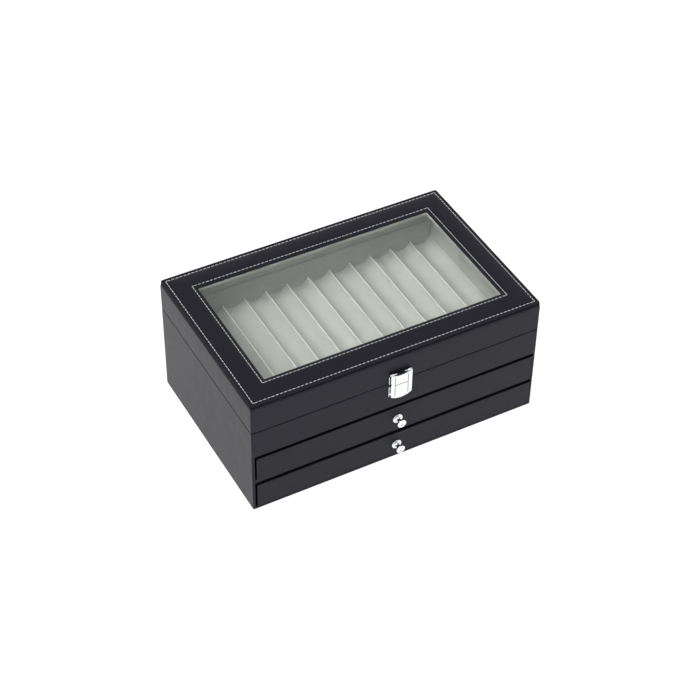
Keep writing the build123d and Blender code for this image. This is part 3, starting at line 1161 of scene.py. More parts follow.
@dataclass
class Case(Wrap):
    """The case: boards, leather, the lined top compartment and its tray.

    Attributes:
        opening_edge: How round the leather is where it turns into a drawer opening.
        sill: How thick it is where it turns over the lower edge of an opening.
        recess: How far the leather between the drawers is set back.
        turn: How far it turns in round an opening.
    """

    opening_edge: float = 0.6
    sill: float = 0.25
    recess: float = 0.7
    turn: float = 1.5

    def build(self) -> None:
        """Builds the whole case."""
        self.covering()
        self.linings()
        Tray(self.palette, self.body).build("display_tray", "display_tray_ridge_highlights", "pen_tray")
        self.dress(self.palette.felt, "base_felt")
        self.dress(
            self.palette.paper,
            "case_floor",
            "case_side_right",
            "case_side_left",
            "case_back_board",
            "case_front_rail",
            "tray_deck",
            "drawer_divider",
        )

    def openings(self) -> list[Extent]:
        """The two drawer openings in the leather's front."""
        leather = Extent.of_node("case_leather")
        divider = Extent.of_node("drawer_divider")
        lip = divider.high[0]
        front = leather.low[1]
        levels = (
            (Extent.of_node("case_floor").high[2] + self.sill, divider.low[2]),
            (divider.high[2] + self.sill, Extent.of_node("tray_deck").low[2]),
        )
        return [Extent((-lip, front - OVER, base), (lip, front + self.turn, top)) for base, top in levels]

    def covering(self) -> None:
        """The leather round the case, cut out for the drawers and turned over the rim."""
        leather = Extent.of_node("case_leather")
        floor = Extent.of_node("case_floor")
        lining = Extent.of_node("case_liner_back")
        rim = leather.high[2] + self.turned_in
        whole = leather.resized(high={2: rim})
        piece = self.blank("case_covering", whole)
        for opening in self.openings():
            cut_block(piece, opening)
            round_edges(piece, opening_edges(opening, 1, leather.low[1]), self.opening_edge, 3)
        lower, upper = self.openings()
        between = lower.resized(
            low={2: lower.high[2] - OVER}, high={1: leather.low[1] + self.recess, 2: upper.low[2] + OVER}
        )
        cut_block(piece, between)
        cut_block(piece, Extent.centred(*floor.high[:2], leather.low[2] - OVER, leather.high[2]))
        well_inside = 100
        cut_block(piece, Extent.centred(*lining.high[:2], well_inside, rim + OVER))
        self.cut_seam(piece, whole)
        self.cut_mortises(piece, Extent.of_node("hinge_case_leaf_left").high[2] - self.seat, rim + OVER)
        finish_surface(piece)
        self.mount(piece, Slot.LEATHER, self.palette.leather, "case_leather")


@dataclass
class Tray(SubAssembly):
    """A fluted pen tray: card formed into twelve round-bottomed slots and flocked.

    Attributes:
        slots: How many slots lie side by side.
        depth: How deep a slot is.
        ridge: How wide the flat between two slots is before its edges are rounded.
        ridge_radius: How round a ridge's edges are.
        ridge_highlight: The radius of the strip of painted highlight along a ridge.
        flock: How far that strip of painted highlight stands above the ridge.
        bare: How much of a ridge's ends it leaves bare.
    """

    slots: int = 12
    depth: float = 8.2
    ridge: float = 1.0
    ridge_radius: float = 0.42
    ridge_highlight: float = 0.65
    flock: float = 0.15
    bare: float = 0.1

    def build(self, name: str, ridge_highlights_name: str, node: str) -> None:
        """Builds one tray and the strips of painted highlight along its ridges.

        Args:
            name: The tray's name.
            ridge_highlights_name: The name of the painted highlight strips.
            node: The CAD node that the tray replaces.
        """
        extent = Extent.of_node(node)
        self.mount(self.form(name, extent), Slot.SUEDE, self.palette.suede, node)
        # The lighter strips along the ridges are a painted highlight.
        self.mount(self.ridge_highlights(ridge_highlights_name, extent), Slot.SUEDE, self.palette.ridge_highlight)

    def form(self, name: str, extent: Extent) -> bpy.types.Object:
        """The tray itself.

        Args:
            name: The piece's name.
            extent: The box it fills.

        Returns:
            The tray.
        """
        piece = block(name, extent)
        pitch = (extent.high[0] - extent.low[0]) / self.slots
        half_chord = (pitch - self.ridge) / 2
        radius = (half_chord**2 + self.depth**2) / (2 * self.depth)
        top = extent.high[2]
        axis_z = top - self.depth + radius
        start, end = extent.low[1] - 2 * OVER, extent.high[1] + 2 * OVER
        cutters = []
        for i in range(self.slots):
            x = extent.low[0] + (i + 0.5) * pitch
            cutters.append(rod(f"slot_{i}", radius, (x, start, axis_z), (x, end, axis_z), 128))
        shape_with(piece, join("slots", cutters))
        near, straight, least = 0.05, 0.01, 1.0

        def on_ridge(a: Vector, b: Vector) -> bool:
            """Whether an edge runs along the top of a ridge."""
            level = max(abs(a.z - top), abs(b.z - top)) < near
            return level and abs(a.x - b.x) < straight and abs(a.y - b.y) > least

        round_edges(piece, on_ridge, self.ridge_radius, 3)
        finish_surface(piece, 40.0)
        return piece

    def ridge_highlights(self, name: str, extent: Extent) -> bpy.types.Object:
        """Strips of lighter suede along the ridges: a painted highlight where light would catch them.

        Args:
            name: The piece's name.
            extent: The box that the tray fills.

        Returns:
            The painted highlight strips of all the ridges.
        """
        pitch = (extent.high[0] - extent.low[0]) / self.slots
        level = extent.high[2] - self.ridge_highlight + self.flock
        start, end = extent.low[1] + self.bare, extent.high[1] - self.bare
        rods = []
        for i in range(1, self.slots):
            x = extent.low[0] + i * pitch
            # Each rod is a strip of lighter suede along a ridge: a painted highlight.
            rods.append(rod("ridge_highlight", self.ridge_highlight, (x, start, level), (x, end, level), 16))
        piece = join(name, rods)
        finish_surface(piece, 60.0)
        return piece


@dataclass
class Lid(Wrap):
    """The lid: a glazed frame of boards under a padded and stitched leather cover.

    Attributes:
        set_in: How far the cover is set in from the band along X and Y.
        lean: How far below its top the band starts to lean in, and how far it leans.
        outer_stitch: How far the outer stitching lies from the lid's edge.
        inner_stitch: How far the inner stitching lies from the lid's edge.
        groove: Half the width of the channel that the stitching pulls into the leather.
        groove_depth: How deep that channel is.
        pulled_down: How much lower the leather lies outside the outer stitch line.
        swell: How much higher it lies along the inner stitch line.
        padding: How it rises from the outer stitch line to the inner one, as shares of the width
            between them and of the rise.
        edge_radius: How round the cover's outer edge is on top.
        under_radius: How round it is underneath.
        tuck: How much higher the underside lies along the outer edge.
        hem: How far in from that edge it does.
        cover_corner: The radius of the cover's corners in plan.
        border: How far the window lies from the lid's edge.
        window_radius: How round the cover is at the window.
        window_dip: How far it curves down there.
        under_groove: How thick the leather is under the stitches.
        glass_play: How much wider than the glass its seat is on each side.
        retainer_radius: How round the suede-covered frame is at the window.
        stitches: The stitches' sizes.
    """

    rolled: tuple[float, float] = (0.75, 1.45)
    set_in: tuple[float, float] = (0.7, 0.3)
    lean: tuple[float, float] = (3.4, 0.3)
    outer_stitch: float = 4.3
    inner_stitch: float = 25.1
    groove: float = 0.8
    groove_depth: float = 0.25
    pulled_down: float = 0.8
    swell: float = 0.2
    padding: tuple[tuple[float, float], ...] = (
        (0.14, 0.45), (0.3, 0.8), (0.5, 1.05), (0.7, 1.15), (0.86, 1.12)
    )
    edge_radius: float = 0.6
    under_radius: float = 0.2
    tuck: float = 0.3
    hem: float = 0.6
    cover_corner: float = 2.4
    border: float = 30.0
    window_radius: float = 0.6
    window_dip: float = 0.4
    under_groove: float = 0.35
    glass_play: float = 0.3
    retainer_radius: float = 1.0
    stitches: "Stitching" = field(default_factory=lambda: Stitching())

    def build(self) -> None:
        """Builds the whole lid."""
        self.band()
        self.cover()
        self.stitching()
        self.retainer()
        self.linings()
        self.dress(self.palette.glass, "window_glass")
        self.dress(self.palette.paper, *(f"lid_rail_{side}" for side in SIDES))

    def band(self) -> None:
        """The leather round the lid's sides, turned over its lower rim."""
        leather = Extent.of_node("lid_band_leather")
        rail = Extent.of_node("lid_rail_right")
        opening = Extent.of_node("glass_retainer")
        rim = leather.low[2] - self.turned_in
        whole = leather.resized(low={2: rim})
        piece = self.blank("lid_band", whole)
        start, inwards = self.lean
        top = whole.high[2]
        slice_along(piece, 2, [top - start])
        shoulder = top - self.rolled[1] - PAST
        for axis in (0, 1):
            for side in (-1, 1):
                near = whole.high[axis] - 2 * self.corner
                shift = [0.0, 0.0, 0.0]
                shift[axis] = -side * inwards
                nudge_points(piece, lambda p: p.z > shoulder and side * p[axis] > near, tuple(shift))
        cut_block(piece, Extent.centred(*rail.high[:2], leather.low[2], leather.high[2] + OVER))
        cut_block(piece, Extent.centred(*opening.high[:2], rim - OVER, leather.high[2]))
        self.cut_seam(piece, whole)
        self.cut_mortises(piece, rim - OVER, Extent.of_node("hinge_lid_leaf_left").low[2] + self.seat)
        finish_surface(piece)
        self.mount(piece, Slot.LEATHER, self.palette.leather, "lid_band_leather")

    def heights(self) -> list[tuple[float, float]]:
        """The cover's cross-section.

        Returns:
            For each line round the border, how far it lies from the edge and how high it stands.
        """
        low, high, half, deep = -self.pulled_down, self.swell, self.groove, self.groove_depth
        outer, inner = self.outer_stitch, self.inner_stitch
        lines = [(outer - half, low), (outer, low - deep), (outer + half, low)]
        width, climb = inner - outer, high - low
        lines += [(outer + width * share, low + climb * rise) for share, rise in self.padding]
        lines += [(inner - half, high), (inner, high - deep), (inner + half, high)]
        return lines

    def window(self, base: float, top: float, grown: float = 0.0) -> Extent:
        """The window as a box.

        Args:
            base: The box's lowest level.
            top: Its highest level.
            grown: How much wider than the window it is on each side.

        Returns:
            The box.
        """
        lid = Extent.of_node("lid_cover_leather")
        window_x, window_y = lid.high[0] - self.border, lid.high[1] - self.border
        return Extent.centred(window_x + grown, window_y + grown, base, top)

    def seat_of_glass(self, base: float, top: float) -> Extent:
        """The seat of the window glass between two levels."""
        glass = Extent.of_node("window_glass")
        return Extent.centred(glass.high[0] + self.glass_play, glass.high[1] + self.glass_play, base, top)

    def cover_ring(self, outline: Extent, window: Extent) -> bpy.types.Object:
        """The cover as a flat ring with rounded edges, cut along every line of its cross-section.

        Args:
            outline: The cover's box.
            window: The window's box.

        Returns:
            The ring.
        """
        base, top = outline.low[2], outline.high[2]
        half_x, half_y = outline.high[:2]
        window_x, window_y = window.high[:2]
        deselect()
        bpy.ops.mesh.primitive_plane_add(size=1.0, location=(0, 0, top * MM))
        bpy.context.object.scale = (2 * half_x * MM, 2 * half_y * MM, 1.0)
        ring = settle("lid_cover")
        for axis in (0, 1):
            places = [outline.high[axis] - line for line, _ in self.heights()]
            places.append(window.high[axis])
            slice_along(ring, axis, [side * place for place in places for side in (-1, 1)])
        with editing(ring, Pick.FACES, lambda c, n: abs(c.x) < window_x and abs(c.y) < window_y):
            bpy.ops.mesh.delete(type="FACE")
            bpy.ops.mesh.select_all(action="SELECT")
            bpy.ops.mesh.extrude_region_move(TRANSFORM_OT_translate={"value": (0, 0, (base - top) * MM)})
            bpy.ops.mesh.select_all(action="SELECT")
            bpy.ops.mesh.normals_make_consistent(inside=False)
        round_edges(ring, upright_corners(half_x, half_y), self.cover_corner, 6)
        round_edges(ring, outline_edges(half_x, half_y, top), self.edge_radius, 4)
        round_edges(ring, outline_edges(half_x, half_y, base), self.under_radius, 4)
        round_edges(ring, opening_edges(window, 2, top), self.window_radius, 4)
        return ring

    def pad(self, ring: bpy.types.Object, outline: Extent, window: Extent) -> None:
        """Raises the padding, pulls both stitch lines in and turns the cover's edges down.

        Args:
            ring: The cover's ring.
            outline: The cover's box.
            window: The window's box.
        """
        base, top, near = outline.low[2], outline.high[2], 0.05

        def inset(point: Vector) -> float:
            """How far a point lies inside the cover's edge."""
            return min(outline.high[0] - abs(point.x), outline.high[1] - abs(point.y))

        def at_line(line: float) -> Callable[[Vector], bool]:
            """A test for the points on top along one line of the cross-section."""
            return lambda p: p.z > top - near and abs(inset(p) - line) < near

        for line, height in self.heights():
            nudge_points(ring, at_line(line), (0, 0, height))
        rim, above = self.outer_stitch - self.groove - PAST, top - self.edge_radius - PAST
        nudge_points(ring, lambda p: p.z > above and inset(p) < rim, (0, 0, -self.pulled_down))
        below = base + self.under_radius + near
        nudge_points(ring, lambda p: p.z < below and inset(p) < self.hem, (0, 0, self.tuck))
        inner = top - self.window_radius - PAST
        lip_x, lip_y = (half + 2 * self.window_radius for half in window.high[:2])
        dip = (0, 0, -self.window_dip)
        nudge_points(ring, lambda p: p.z > inner and abs(p.x) < lip_x and abs(p.y) < lip_y, dip)

    def cover(self) -> None:
        """The top cover: padded leather round the window, and the card that it is glued over."""
        node = Extent.of_node("lid_cover_leather")
        board = Extent.of_node("lid_cover_board")
        base, top = node.low[2], node.high[2]
        half_x, half_y = node.high[0] - self.set_in[0], node.high[1] - self.set_in[1]
        outline, window = Extent.centred(half_x, half_y, base, top), self.window(base, top)
        piece = self.cover_ring(outline, window)
        self.pad(piece, outline, window)
        skin = node.high[0] - board.high[0]
        card_top = top - self.pulled_down - self.groove_depth - self.under_groove
        card = Extent.centred(half_x - 2 * skin, half_y - 2 * skin, board.low[2], card_top)
        core = block("core", card.resized(low={2: base - OVER}))
        hole = self.window(base - 2 * OVER, top, skin)
        cut_block(core, hole)
        shape_with(piece, core)
        seat = self.seat_of_glass(base - OVER, Extent.of_node("window_glass").high[2] + PAST)
        cut_block(piece, seat)
        finish_surface(piece, 50.0)
        self.mount(piece, Slot.LEATHER, self.palette.leather, "lid_cover_leather")
        backing = block("lid_card", card)
        cut_block(backing, hole)
        cut_block(backing, seat)
        finish_surface(backing)
        self.mount(backing, Slot.BOARD, self.palette.paper, "lid_cover_board")

    def stitching(self) -> None:
        """Both rings of stitches, each in the channel that it pulls into the leather."""
        cover = Extent.of_node("lid_cover_leather")
        levels = dict(self.heights())
        for name, inset in (("outer", self.outer_stitch), ("inner", self.inner_stitch)):
            ring = self.stitches.ring(
                f"{name}_stitching",
                cover.high[0] - self.set_in[0] - inset,
                cover.high[1] - self.set_in[1] - inset,
                cover.high[2] + levels[inset],
            )
            self.mount(ring, Slot.LEATHER, self.palette.thread)

    def retainer(self) -> None:
        """The suede-covered frame that holds the glass up against the cover."""
        whole = Extent.of_node("glass_retainer")
        above = whole.high[2] + OVER
        piece = block("window_retainer", whole)
        window = self.window(whole.low[2] - OVER, above)
        cut_block(piece, window)
        cut_block(piece, self.seat_of_glass(Extent.of_node("window_glass").low[2] - PAST, above))
        round_edges(piece, opening_edges(window, 2, whole.low[2]), self.retainer_radius, 4)
        finish_surface(piece)
        self.mount(piece, Slot.SUEDE, self.palette.suede, "glass_retainer")


@dataclass
class Stitching:
    """A ring of lockstitches.

    Attributes:
        pitch: How far apart two stitches start.
        length: How long a stitch is on the surface.
        width: How wide the thread is.
        height: How far the thread stands out of the channel.
        dive: How much lower its ends lie, in the needle's holes.
        lift: How high its middle lies above the bottom of the channel.
        taper: How thick it is along its half length: share of the length, share of the thickness.
        corner: The radius that the ring turns its corners with.
        sides: How many flats go round the thread.
    """

    pitch: float = 4.6
    length: float = 3.8
    width: float = 0.75
    height: float = 0.45
    dive: float = 0.3
    lift: float = 0.15
    taper: tuple[tuple[float, float], ...] = ((1.0, 0.35), (0.72, 0.85), (0.0, 1.0))
    corner: float = 1.3
    sides: int = 6

    def one(self) -> bpy.types.Object:
        """One stitch along X, middle at the origin, whose ends dive into the leather."""
        half, radius, tip = self.length / 2, self.width / 2, 0.9
        rings = [(thick * radius, -share * half) for share, thick in self.taper]
        rings += [(thick * radius, share * half) for share, thick in self.taper[-2::-1]]
        piece = stand(turned("stitch", rings, self.sides), tilt=(0, 90, 0))
        stand(piece, scale=(1.0, 1.0, self.height / self.width))
        nudge_points(piece, lambda p: abs(p.x) > tip * half, (0, 0, -self.dive))
        return piece

    def ring(self, name: str, half_x: float, half_y: float, level: float) -> bpy.types.Object:
        """Stitches round a rectangle.

        Args:
            name: The piece's name.
            half_x: Half the width of the stitch line.
            half_y: Half its depth.
            level: The bottom of the channel.

        Returns:
            All the stitches as one piece.
        """
        rows = []
        lift = level + self.lift
        cut_off = self.corner * (1 - math.cos(math.pi / 4))
        for side, (half_run, offset) in enumerate(((half_x, half_y), (half_y, half_x)) * 2):
            run = half_run - self.corner
            count = round(2 * run / self.pitch)
            step = 2 * run / count
            turn = stand(self.one(), (half_run - cut_off, -offset + cut_off, lift), (0, 0, 45))
            row = stand(self.one(), (-run + step / 2, -offset, lift))
            apply_modifier(
                row,
                "ARRAY",
                count=count,
                use_relative_offset=False,
                use_constant_offset=True,
                constant_offset_displace=(step * MM, 0, 0),
            )
            rows += [stand(part, tilt=(0.0, 0.0, 90.0 * side)) for part in (turn, row)]
        ring = join(name, rows)
        finish_surface(ring, 80.0)
        return ring


@dataclass
class Drawer(SubAssembly):
    """A drawer: a padded leather front with a turned knob, lined sides and a fluted tray.

    Attributes:
        front_radius: How round the front's edges are.
        sill_radius: How round its lower edge is.
        board_edge: How round the side boards' edges are.
        cloth: The thickness of the suede glued inside the boards.
        screw_eased: How far the edges of the knob's screw are eased.
        cross: How wide and how deep the cross in that screw is.
        knob: The knob's sizes.
    """

    front_radius: float = 0.8
    sill_radius: float = 0.3
    board_edge: float = 0.6
    cloth: float = 0.15
    screw_eased: float = 0.15
    cross: tuple[float, float] = (2.0, 1.0)
    knob: "Knob" = field(default_factory=lambda: Knob())

    @property
    def prefix(self) -> str:
        """What the names of its CAD nodes start with."""
        return self.body.value

    def build(self) -> None:
        """Builds the whole drawer."""
        self.front()
        for side in ("side_right", "side_left", "back", "bottom"):
            node = f"{self.prefix}_{side}"
            board = soft_board(f"{self.prefix}_papered_{side}", Extent.of_node(node), self.board_edge)
            self.mount(board, Slot.BOARD, self.palette.paper, node)
        self.lining()
        names = (f"{self.prefix}_fluted_tray", f"{self.prefix}_tray_ridge_highlights")
        Tray(self.palette, self.body).build(*names, f"{self.prefix}_tray")
        self.dress(self.palette.paper, f"{self.prefix}_front")
        node = Extent.of_node(f"{self.prefix}_knob")
        centre_z = (node.low[2] + node.high[2]) / 2
        knob = self.knob.build(f"{self.prefix}_turned_knob", (0.0, node.high[1], centre_z))
        self.mount(knob, Slot.CHROME, self.palette.chrome, f"{self.prefix}_knob")
        screw = self.refined(f"{self.prefix}_eased_screw", f"{self.prefix}_knob_screw", self.screw_eased)
        head = Extent.of_node(f"{self.prefix}_knob_screw")
        cut_cross(screw, (0.0, head.high[1], centre_z), 1, *self.cross)
        self.mount(screw, Slot.STEEL, self.palette.steel, f"{self.prefix}_knob_screw")

    def front(self) -> None:
        """The leather over the front board's face and edges."""
        node = Extent.of_node(f"{self.prefix}_front_leather")
        core = Extent.of_node(f"{self.prefix}_front")
        face, sill = node.low[1] + NEAR, node.low[2] + NEAR
        above_sill = sill + 1.0
        piece = block(f"{self.prefix}_front_covering", node)
        round_edges(
            piece, lambda a, b: max(a.y, b.y) < face and max(a.z, b.z) < sill, self.sill_radius, 3
        )
        round_edges(
            piece, lambda a, b: max(a.y, b.y) < face and max(a.z, b.z) > above_sill, self.front_radius, 5
        )
        cut_block(piece, core.resized(high={1: core.high[1] + OVER}))
        finish_surface(piece)
        self.mount(piece, Slot.LEATHER, self.palette.leather, f"{self.prefix}_front_leather")

    def lining(self) -> None:
        """The thin suede on the inner faces of the sides and the back."""
        right = Extent.of_node(f"{self.prefix}_side_right")
        back = Extent.of_node(f"{self.prefix}_back")
        reach, top = right.low[0], right.high[2] - self.board_edge
        whole = Extent((-reach, right.low[1], right.low[2]), (reach, back.low[1], top))
        piece = block(f"{self.prefix}_suede_lining", whole)
        inner = whole.resized(
            low={0: -reach + self.cloth, 1: whole.low[1] + self.cloth, 2: whole.low[2] - OVER},
            high={0: reach - self.cloth, 1: whole.high[1] - self.cloth, 2: top + OVER},
        )
        cut_block(piece, inner)
        finish_surface(piece)
        self.mount(piece, Slot.SUEDE, self.palette.suede)


def cut_cross(screw: bpy.types.Object, place: Point, axis: int, width: float, depth: float) -> None:
    """Cuts a cross recess into a screw's head.

    Args:
        screw: The screw.
        place: The middle of the head's face.
        axis: The axis that the screw lies along.
        width: How wide the cross is.
        depth: How deep it is.
    """
    bar = 0.22 * width
    others = [i for i in range(3) if i != axis]
    for long_axis in others:
        half = [bar / 2] * 3
        half[long_axis] = width / 2
        half[axis] = depth
        low = tuple(place[i] - half[i] for i in range(3))
        high = tuple(place[i] + half[i] for i in range(3))
        cut_block(screw, Extent(low, high))
    finish_surface(screw)


@dataclass
class Knob:
    """A turned and plated knob.

    Attributes:
        flange: The radius of the flange that stands on the drawer.
        rim: The thickness of the flange's rim.
        flange_length: Where the flange's flare ends and the waist starts.
        waist: The waist's radius.
        head: The head's radius.
        head_rim: The thickness of the head's rim.
        flare: The radius of the curve under the head.
        length: The whole knob's length.
        dish: The radius of the dished face.
        dish_depth: How deep the dish is.
        ease: How far its sharp edges are rounded.
        steps: How many rings make a curve.
        sides: How many flats go round it.
    """

    flange: float = 5.6
    rim: float = 0.7
    flange_length: float = 3.0
    waist: float = 2.3
    head: float = 5.0
    head_rim: float = 2.0
    flare: float = 1.7
    length: float = 9.4
    dish: float = 2.8
    dish_depth: float = 1.5
    ease: float = 0.3
    steps: int = 7
    sides: int = 64

    def profile(self) -> list[tuple[float, float]]:
        """Radius and distance along the axis, from the drawer to the dish.

        Returns:
            The rings of the turning.
        """
        steps, ease, last_radius = self.steps, self.ease, 0.05
        quarter = [math.pi / 2 * i / steps for i in range(steps + 1)]
        rings = [(self.flange - ease, 0.0), (self.flange, ease), (self.flange, self.rim - ease / 2)]
        run = self.flange_length - self.rim
        top_radius = self.waist + run
        rings.append((self.flange - ease / 2, self.rim))
        for angle in quarter:
            rings.append((top_radius - run * math.sin(angle), self.flange_length - run * math.cos(angle)))
        neck_end = self.length - self.head_rim - self.flare
        for angle in quarter:
            radius = self.waist + self.flare * (1 - math.cos(angle))
            rings.append((radius, neck_end + self.flare * math.sin(angle)))
        head_back = self.length - self.head_rim
        for angle in quarter[::2]:
            radius = self.head - ease + ease * math.sin(angle)
            rings.append((radius, head_back + ease - ease * math.cos(angle)))
        for angle in quarter[::2]:
            radius = self.head - ease + ease * math.cos(angle)
            rings.append((radius, self.length - ease + ease * math.sin(angle)))
        ball = (self.dish**2 + self.dish_depth**2) / (2 * self.dish_depth)
        reach = math.asin(self.dish / ball)
        for i in range(steps):
            angle = reach * (1 - i / steps)
            drop = ball * math.cos(angle) - (ball - self.dish_depth)
            rings.append((ball * math.sin(angle), self.length - drop))
        rings.append((last_radius, self.length - self.dish_depth))
        return rings

    def build(self, name: str, foot: Point) -> bpy.types.Object:
        """Turns one knob and stands it on a drawer front.

        Args:
            name: The piece's name.
            foot: The middle of the flange on the front's face.

        Returns:
            The knob.
        """
        piece = stand(turned(name, self.profile(), self.sides), foot, (90, 0, 0))
        finish_surface(piece, 35.0)
        return piece


@dataclass
class ClaspFlap(SubAssembly):
    """The clasp's hinged flap: a pressed and plated plate with rolled knuckles.

    Attributes:
        plate: The thickness of the metal.
        rim: How far the turned-in rim reaches behind the face.
        side_play: How much narrower than the CAD flap it is on each side.
        bulge: How far the foot curves down at its middle.
        dip: How far the top curves down between the knuckles.
        gap: Half the width between the two knuckles.
        knuckle: The radius of the knuckles.
        bore: The radius of their bore.
        clearance: How much room the knuckles have in the plate above.
        panel: Half the width between the two pressed grooves.
        groove: Half the width of a groove, and its depth.
        painted_groove_shade: Darker, rougher chrome at the bottom of the grooves: painted shade.
        edge: How round the pressed edges are.
    """

    plate: float = 0.9
    rim: float = 1.2
    side_play: float = 0.35
    bulge: float = 3.8
    dip: float = 1.2
    gap: float = 8.6
    knuckle: float = 1.8
    bore: float = 0.85
    clearance: float = 0.3
    panel: float = 7.6
    groove: float = 0.5
    edge: float = 0.3
    # Chrome painted darker for the grooves' bottoms: painted shade.
    painted_groove_shade: Finish = PlatedMetal("chrome painted darker as groove shade", "#8D9093", polish=(0.4, 0.5))

    def build(self) -> None:
        """Builds the flap."""
        node = Extent.of_node("clasp_flap")
        pin = Extent.of_node("clasp_pin")
        lid_edge = Extent.of_node("lid_band_leather").low[2]
        crease = (Extent.of_node("case_leather").high[2] + lid_edge) / 2
        axis_y, axis_z = (pin.low[1] + pin.high[1]) / 2, (pin.low[2] + pin.high[2]) / 2
        half, face = node.high[0] - self.side_play, node.low[1]
        back = face + self.rim
        foot = node.low[2] + self.bulge
        piece = block("formed_flap", Extent((-half, face, node.low[2]), (half, back, axis_z)))
        self.shape_outline(piece, half, face, back, foot, 0.0)
        inner = half - self.plate
        low = (-inner, face + self.plate, node.low[2] + self.plate)
        inside = block("hollow", Extent(low, (inner, back + OVER, axis_z + OVER)))
        self.shape_outline(inside, half, face, back + OVER, foot + self.plate, self.plate)
        shape_with(piece, inside)
        far = half + OVER
        room = self.knuckle + self.clearance
        shape_with(piece, rod("room", room, (-far, axis_y, axis_z), (far, axis_y, axis_z), 64))
        bottom = face + self.groove
        for x in (-self.panel, self.panel):
            low = (x - self.groove, face - OVER, foot)
            cut_block(piece, Extent(low, (x + self.groove, bottom, axis_z)))
        low = (-self.panel, face - OVER, crease - self.groove)
        cut_block(piece, Extent(low, (self.panel, bottom, crease + self.groove)))
        for side in (-1, 1):
            x0, x1 = sorted((side * self.gap, side * half))
            web = Extent((x0, face, axis_z - room - OVER), (x1, axis_y, axis_z))
            shape_with(piece, block("web", web), "UNION")
            barrel = rod("knuckle", self.knuckle, (x0, axis_y, axis_z), (x1, axis_y, axis_z), 48)
            shape_with(piece, barrel, "UNION")
        shape_with(piece, rod("bore", self.bore, (-far, axis_y, axis_z), (far, axis_y, axis_z), 32))
        soften(piece, self.edge, 3, 40.0)
        finish_surface(piece, 40.0)
        self.mount(piece, Slot.CHROME, self.palette.chrome, "clasp_flap")
        self.painted_shade_groove_floors(bottom, foot, crease, axis_z - room)

    def painted_shade_groove_floors(self, bottom: float, foot: float, crease: float, top: float) -> None:
        """Thin strips of darker chrome in the bottoms of the pressed grooves: painted shade.

        Args:
            bottom: Where they lie behind the face.
            foot: The lowest level of the upright ones.
            crease: The height of the level one.
            top: The highest level of the upright ones.
        """
        half, skin, short = 0.75 * self.groove, 0.04, 0.5
        front, back = bottom - skin, bottom + skin
        floors = [
            block("floor", Extent((x - half, front, foot + short), (x + half, back, top - short)))
            for x in (-self.panel, self.panel)
        ]
        level = Extent((-self.panel, front, crease - half), (self.panel, back, crease + half))
        floors.append(block("floor", level))
        # These strips are painted shade: darker chrome where the grooves lie in shadow.
        self.mount(join("painted_shade_groove_floors", floors), Slot.CHROME, self.painted_groove_shade)

    def shape_outline(
        self, piece: bpy.types.Object, half: float, face: float, back: float, foot: float, inset: float
    ) -> None:
        """Gives a blank the flap's curved foot and dipped top.

        Args:
            piece: The blank.
            half: Half the flap's width.
            face: Where its face lies.
            back: Where its back lies.
            foot: The height of the foot's corners.
            inset: How far the outline stands inside the flap's.
        """
        pin = Extent.of_node("clasp_pin")
        axis_z = (pin.low[2] + pin.high[2]) / 2
        chord = half - inset
        round_radius = (chord**2 + self.bulge**2) / (2 * self.bulge)
        centre = foot - self.bulge + round_radius
        front, behind = face - OVER, back + OVER
        keep = rod("keep", round_radius, (0, front, centre), (0, behind, centre), 256)
        shape_with(piece, keep, "INTERSECT")
        dip_radius = (self.gap**2 + self.dip**2) / (2 * self.dip)
        dip_z = axis_z - self.dip + dip_radius
        shape_with(piece, rod("dip", dip_radius, (0, front, dip_z), (0, behind, dip_z), 96))


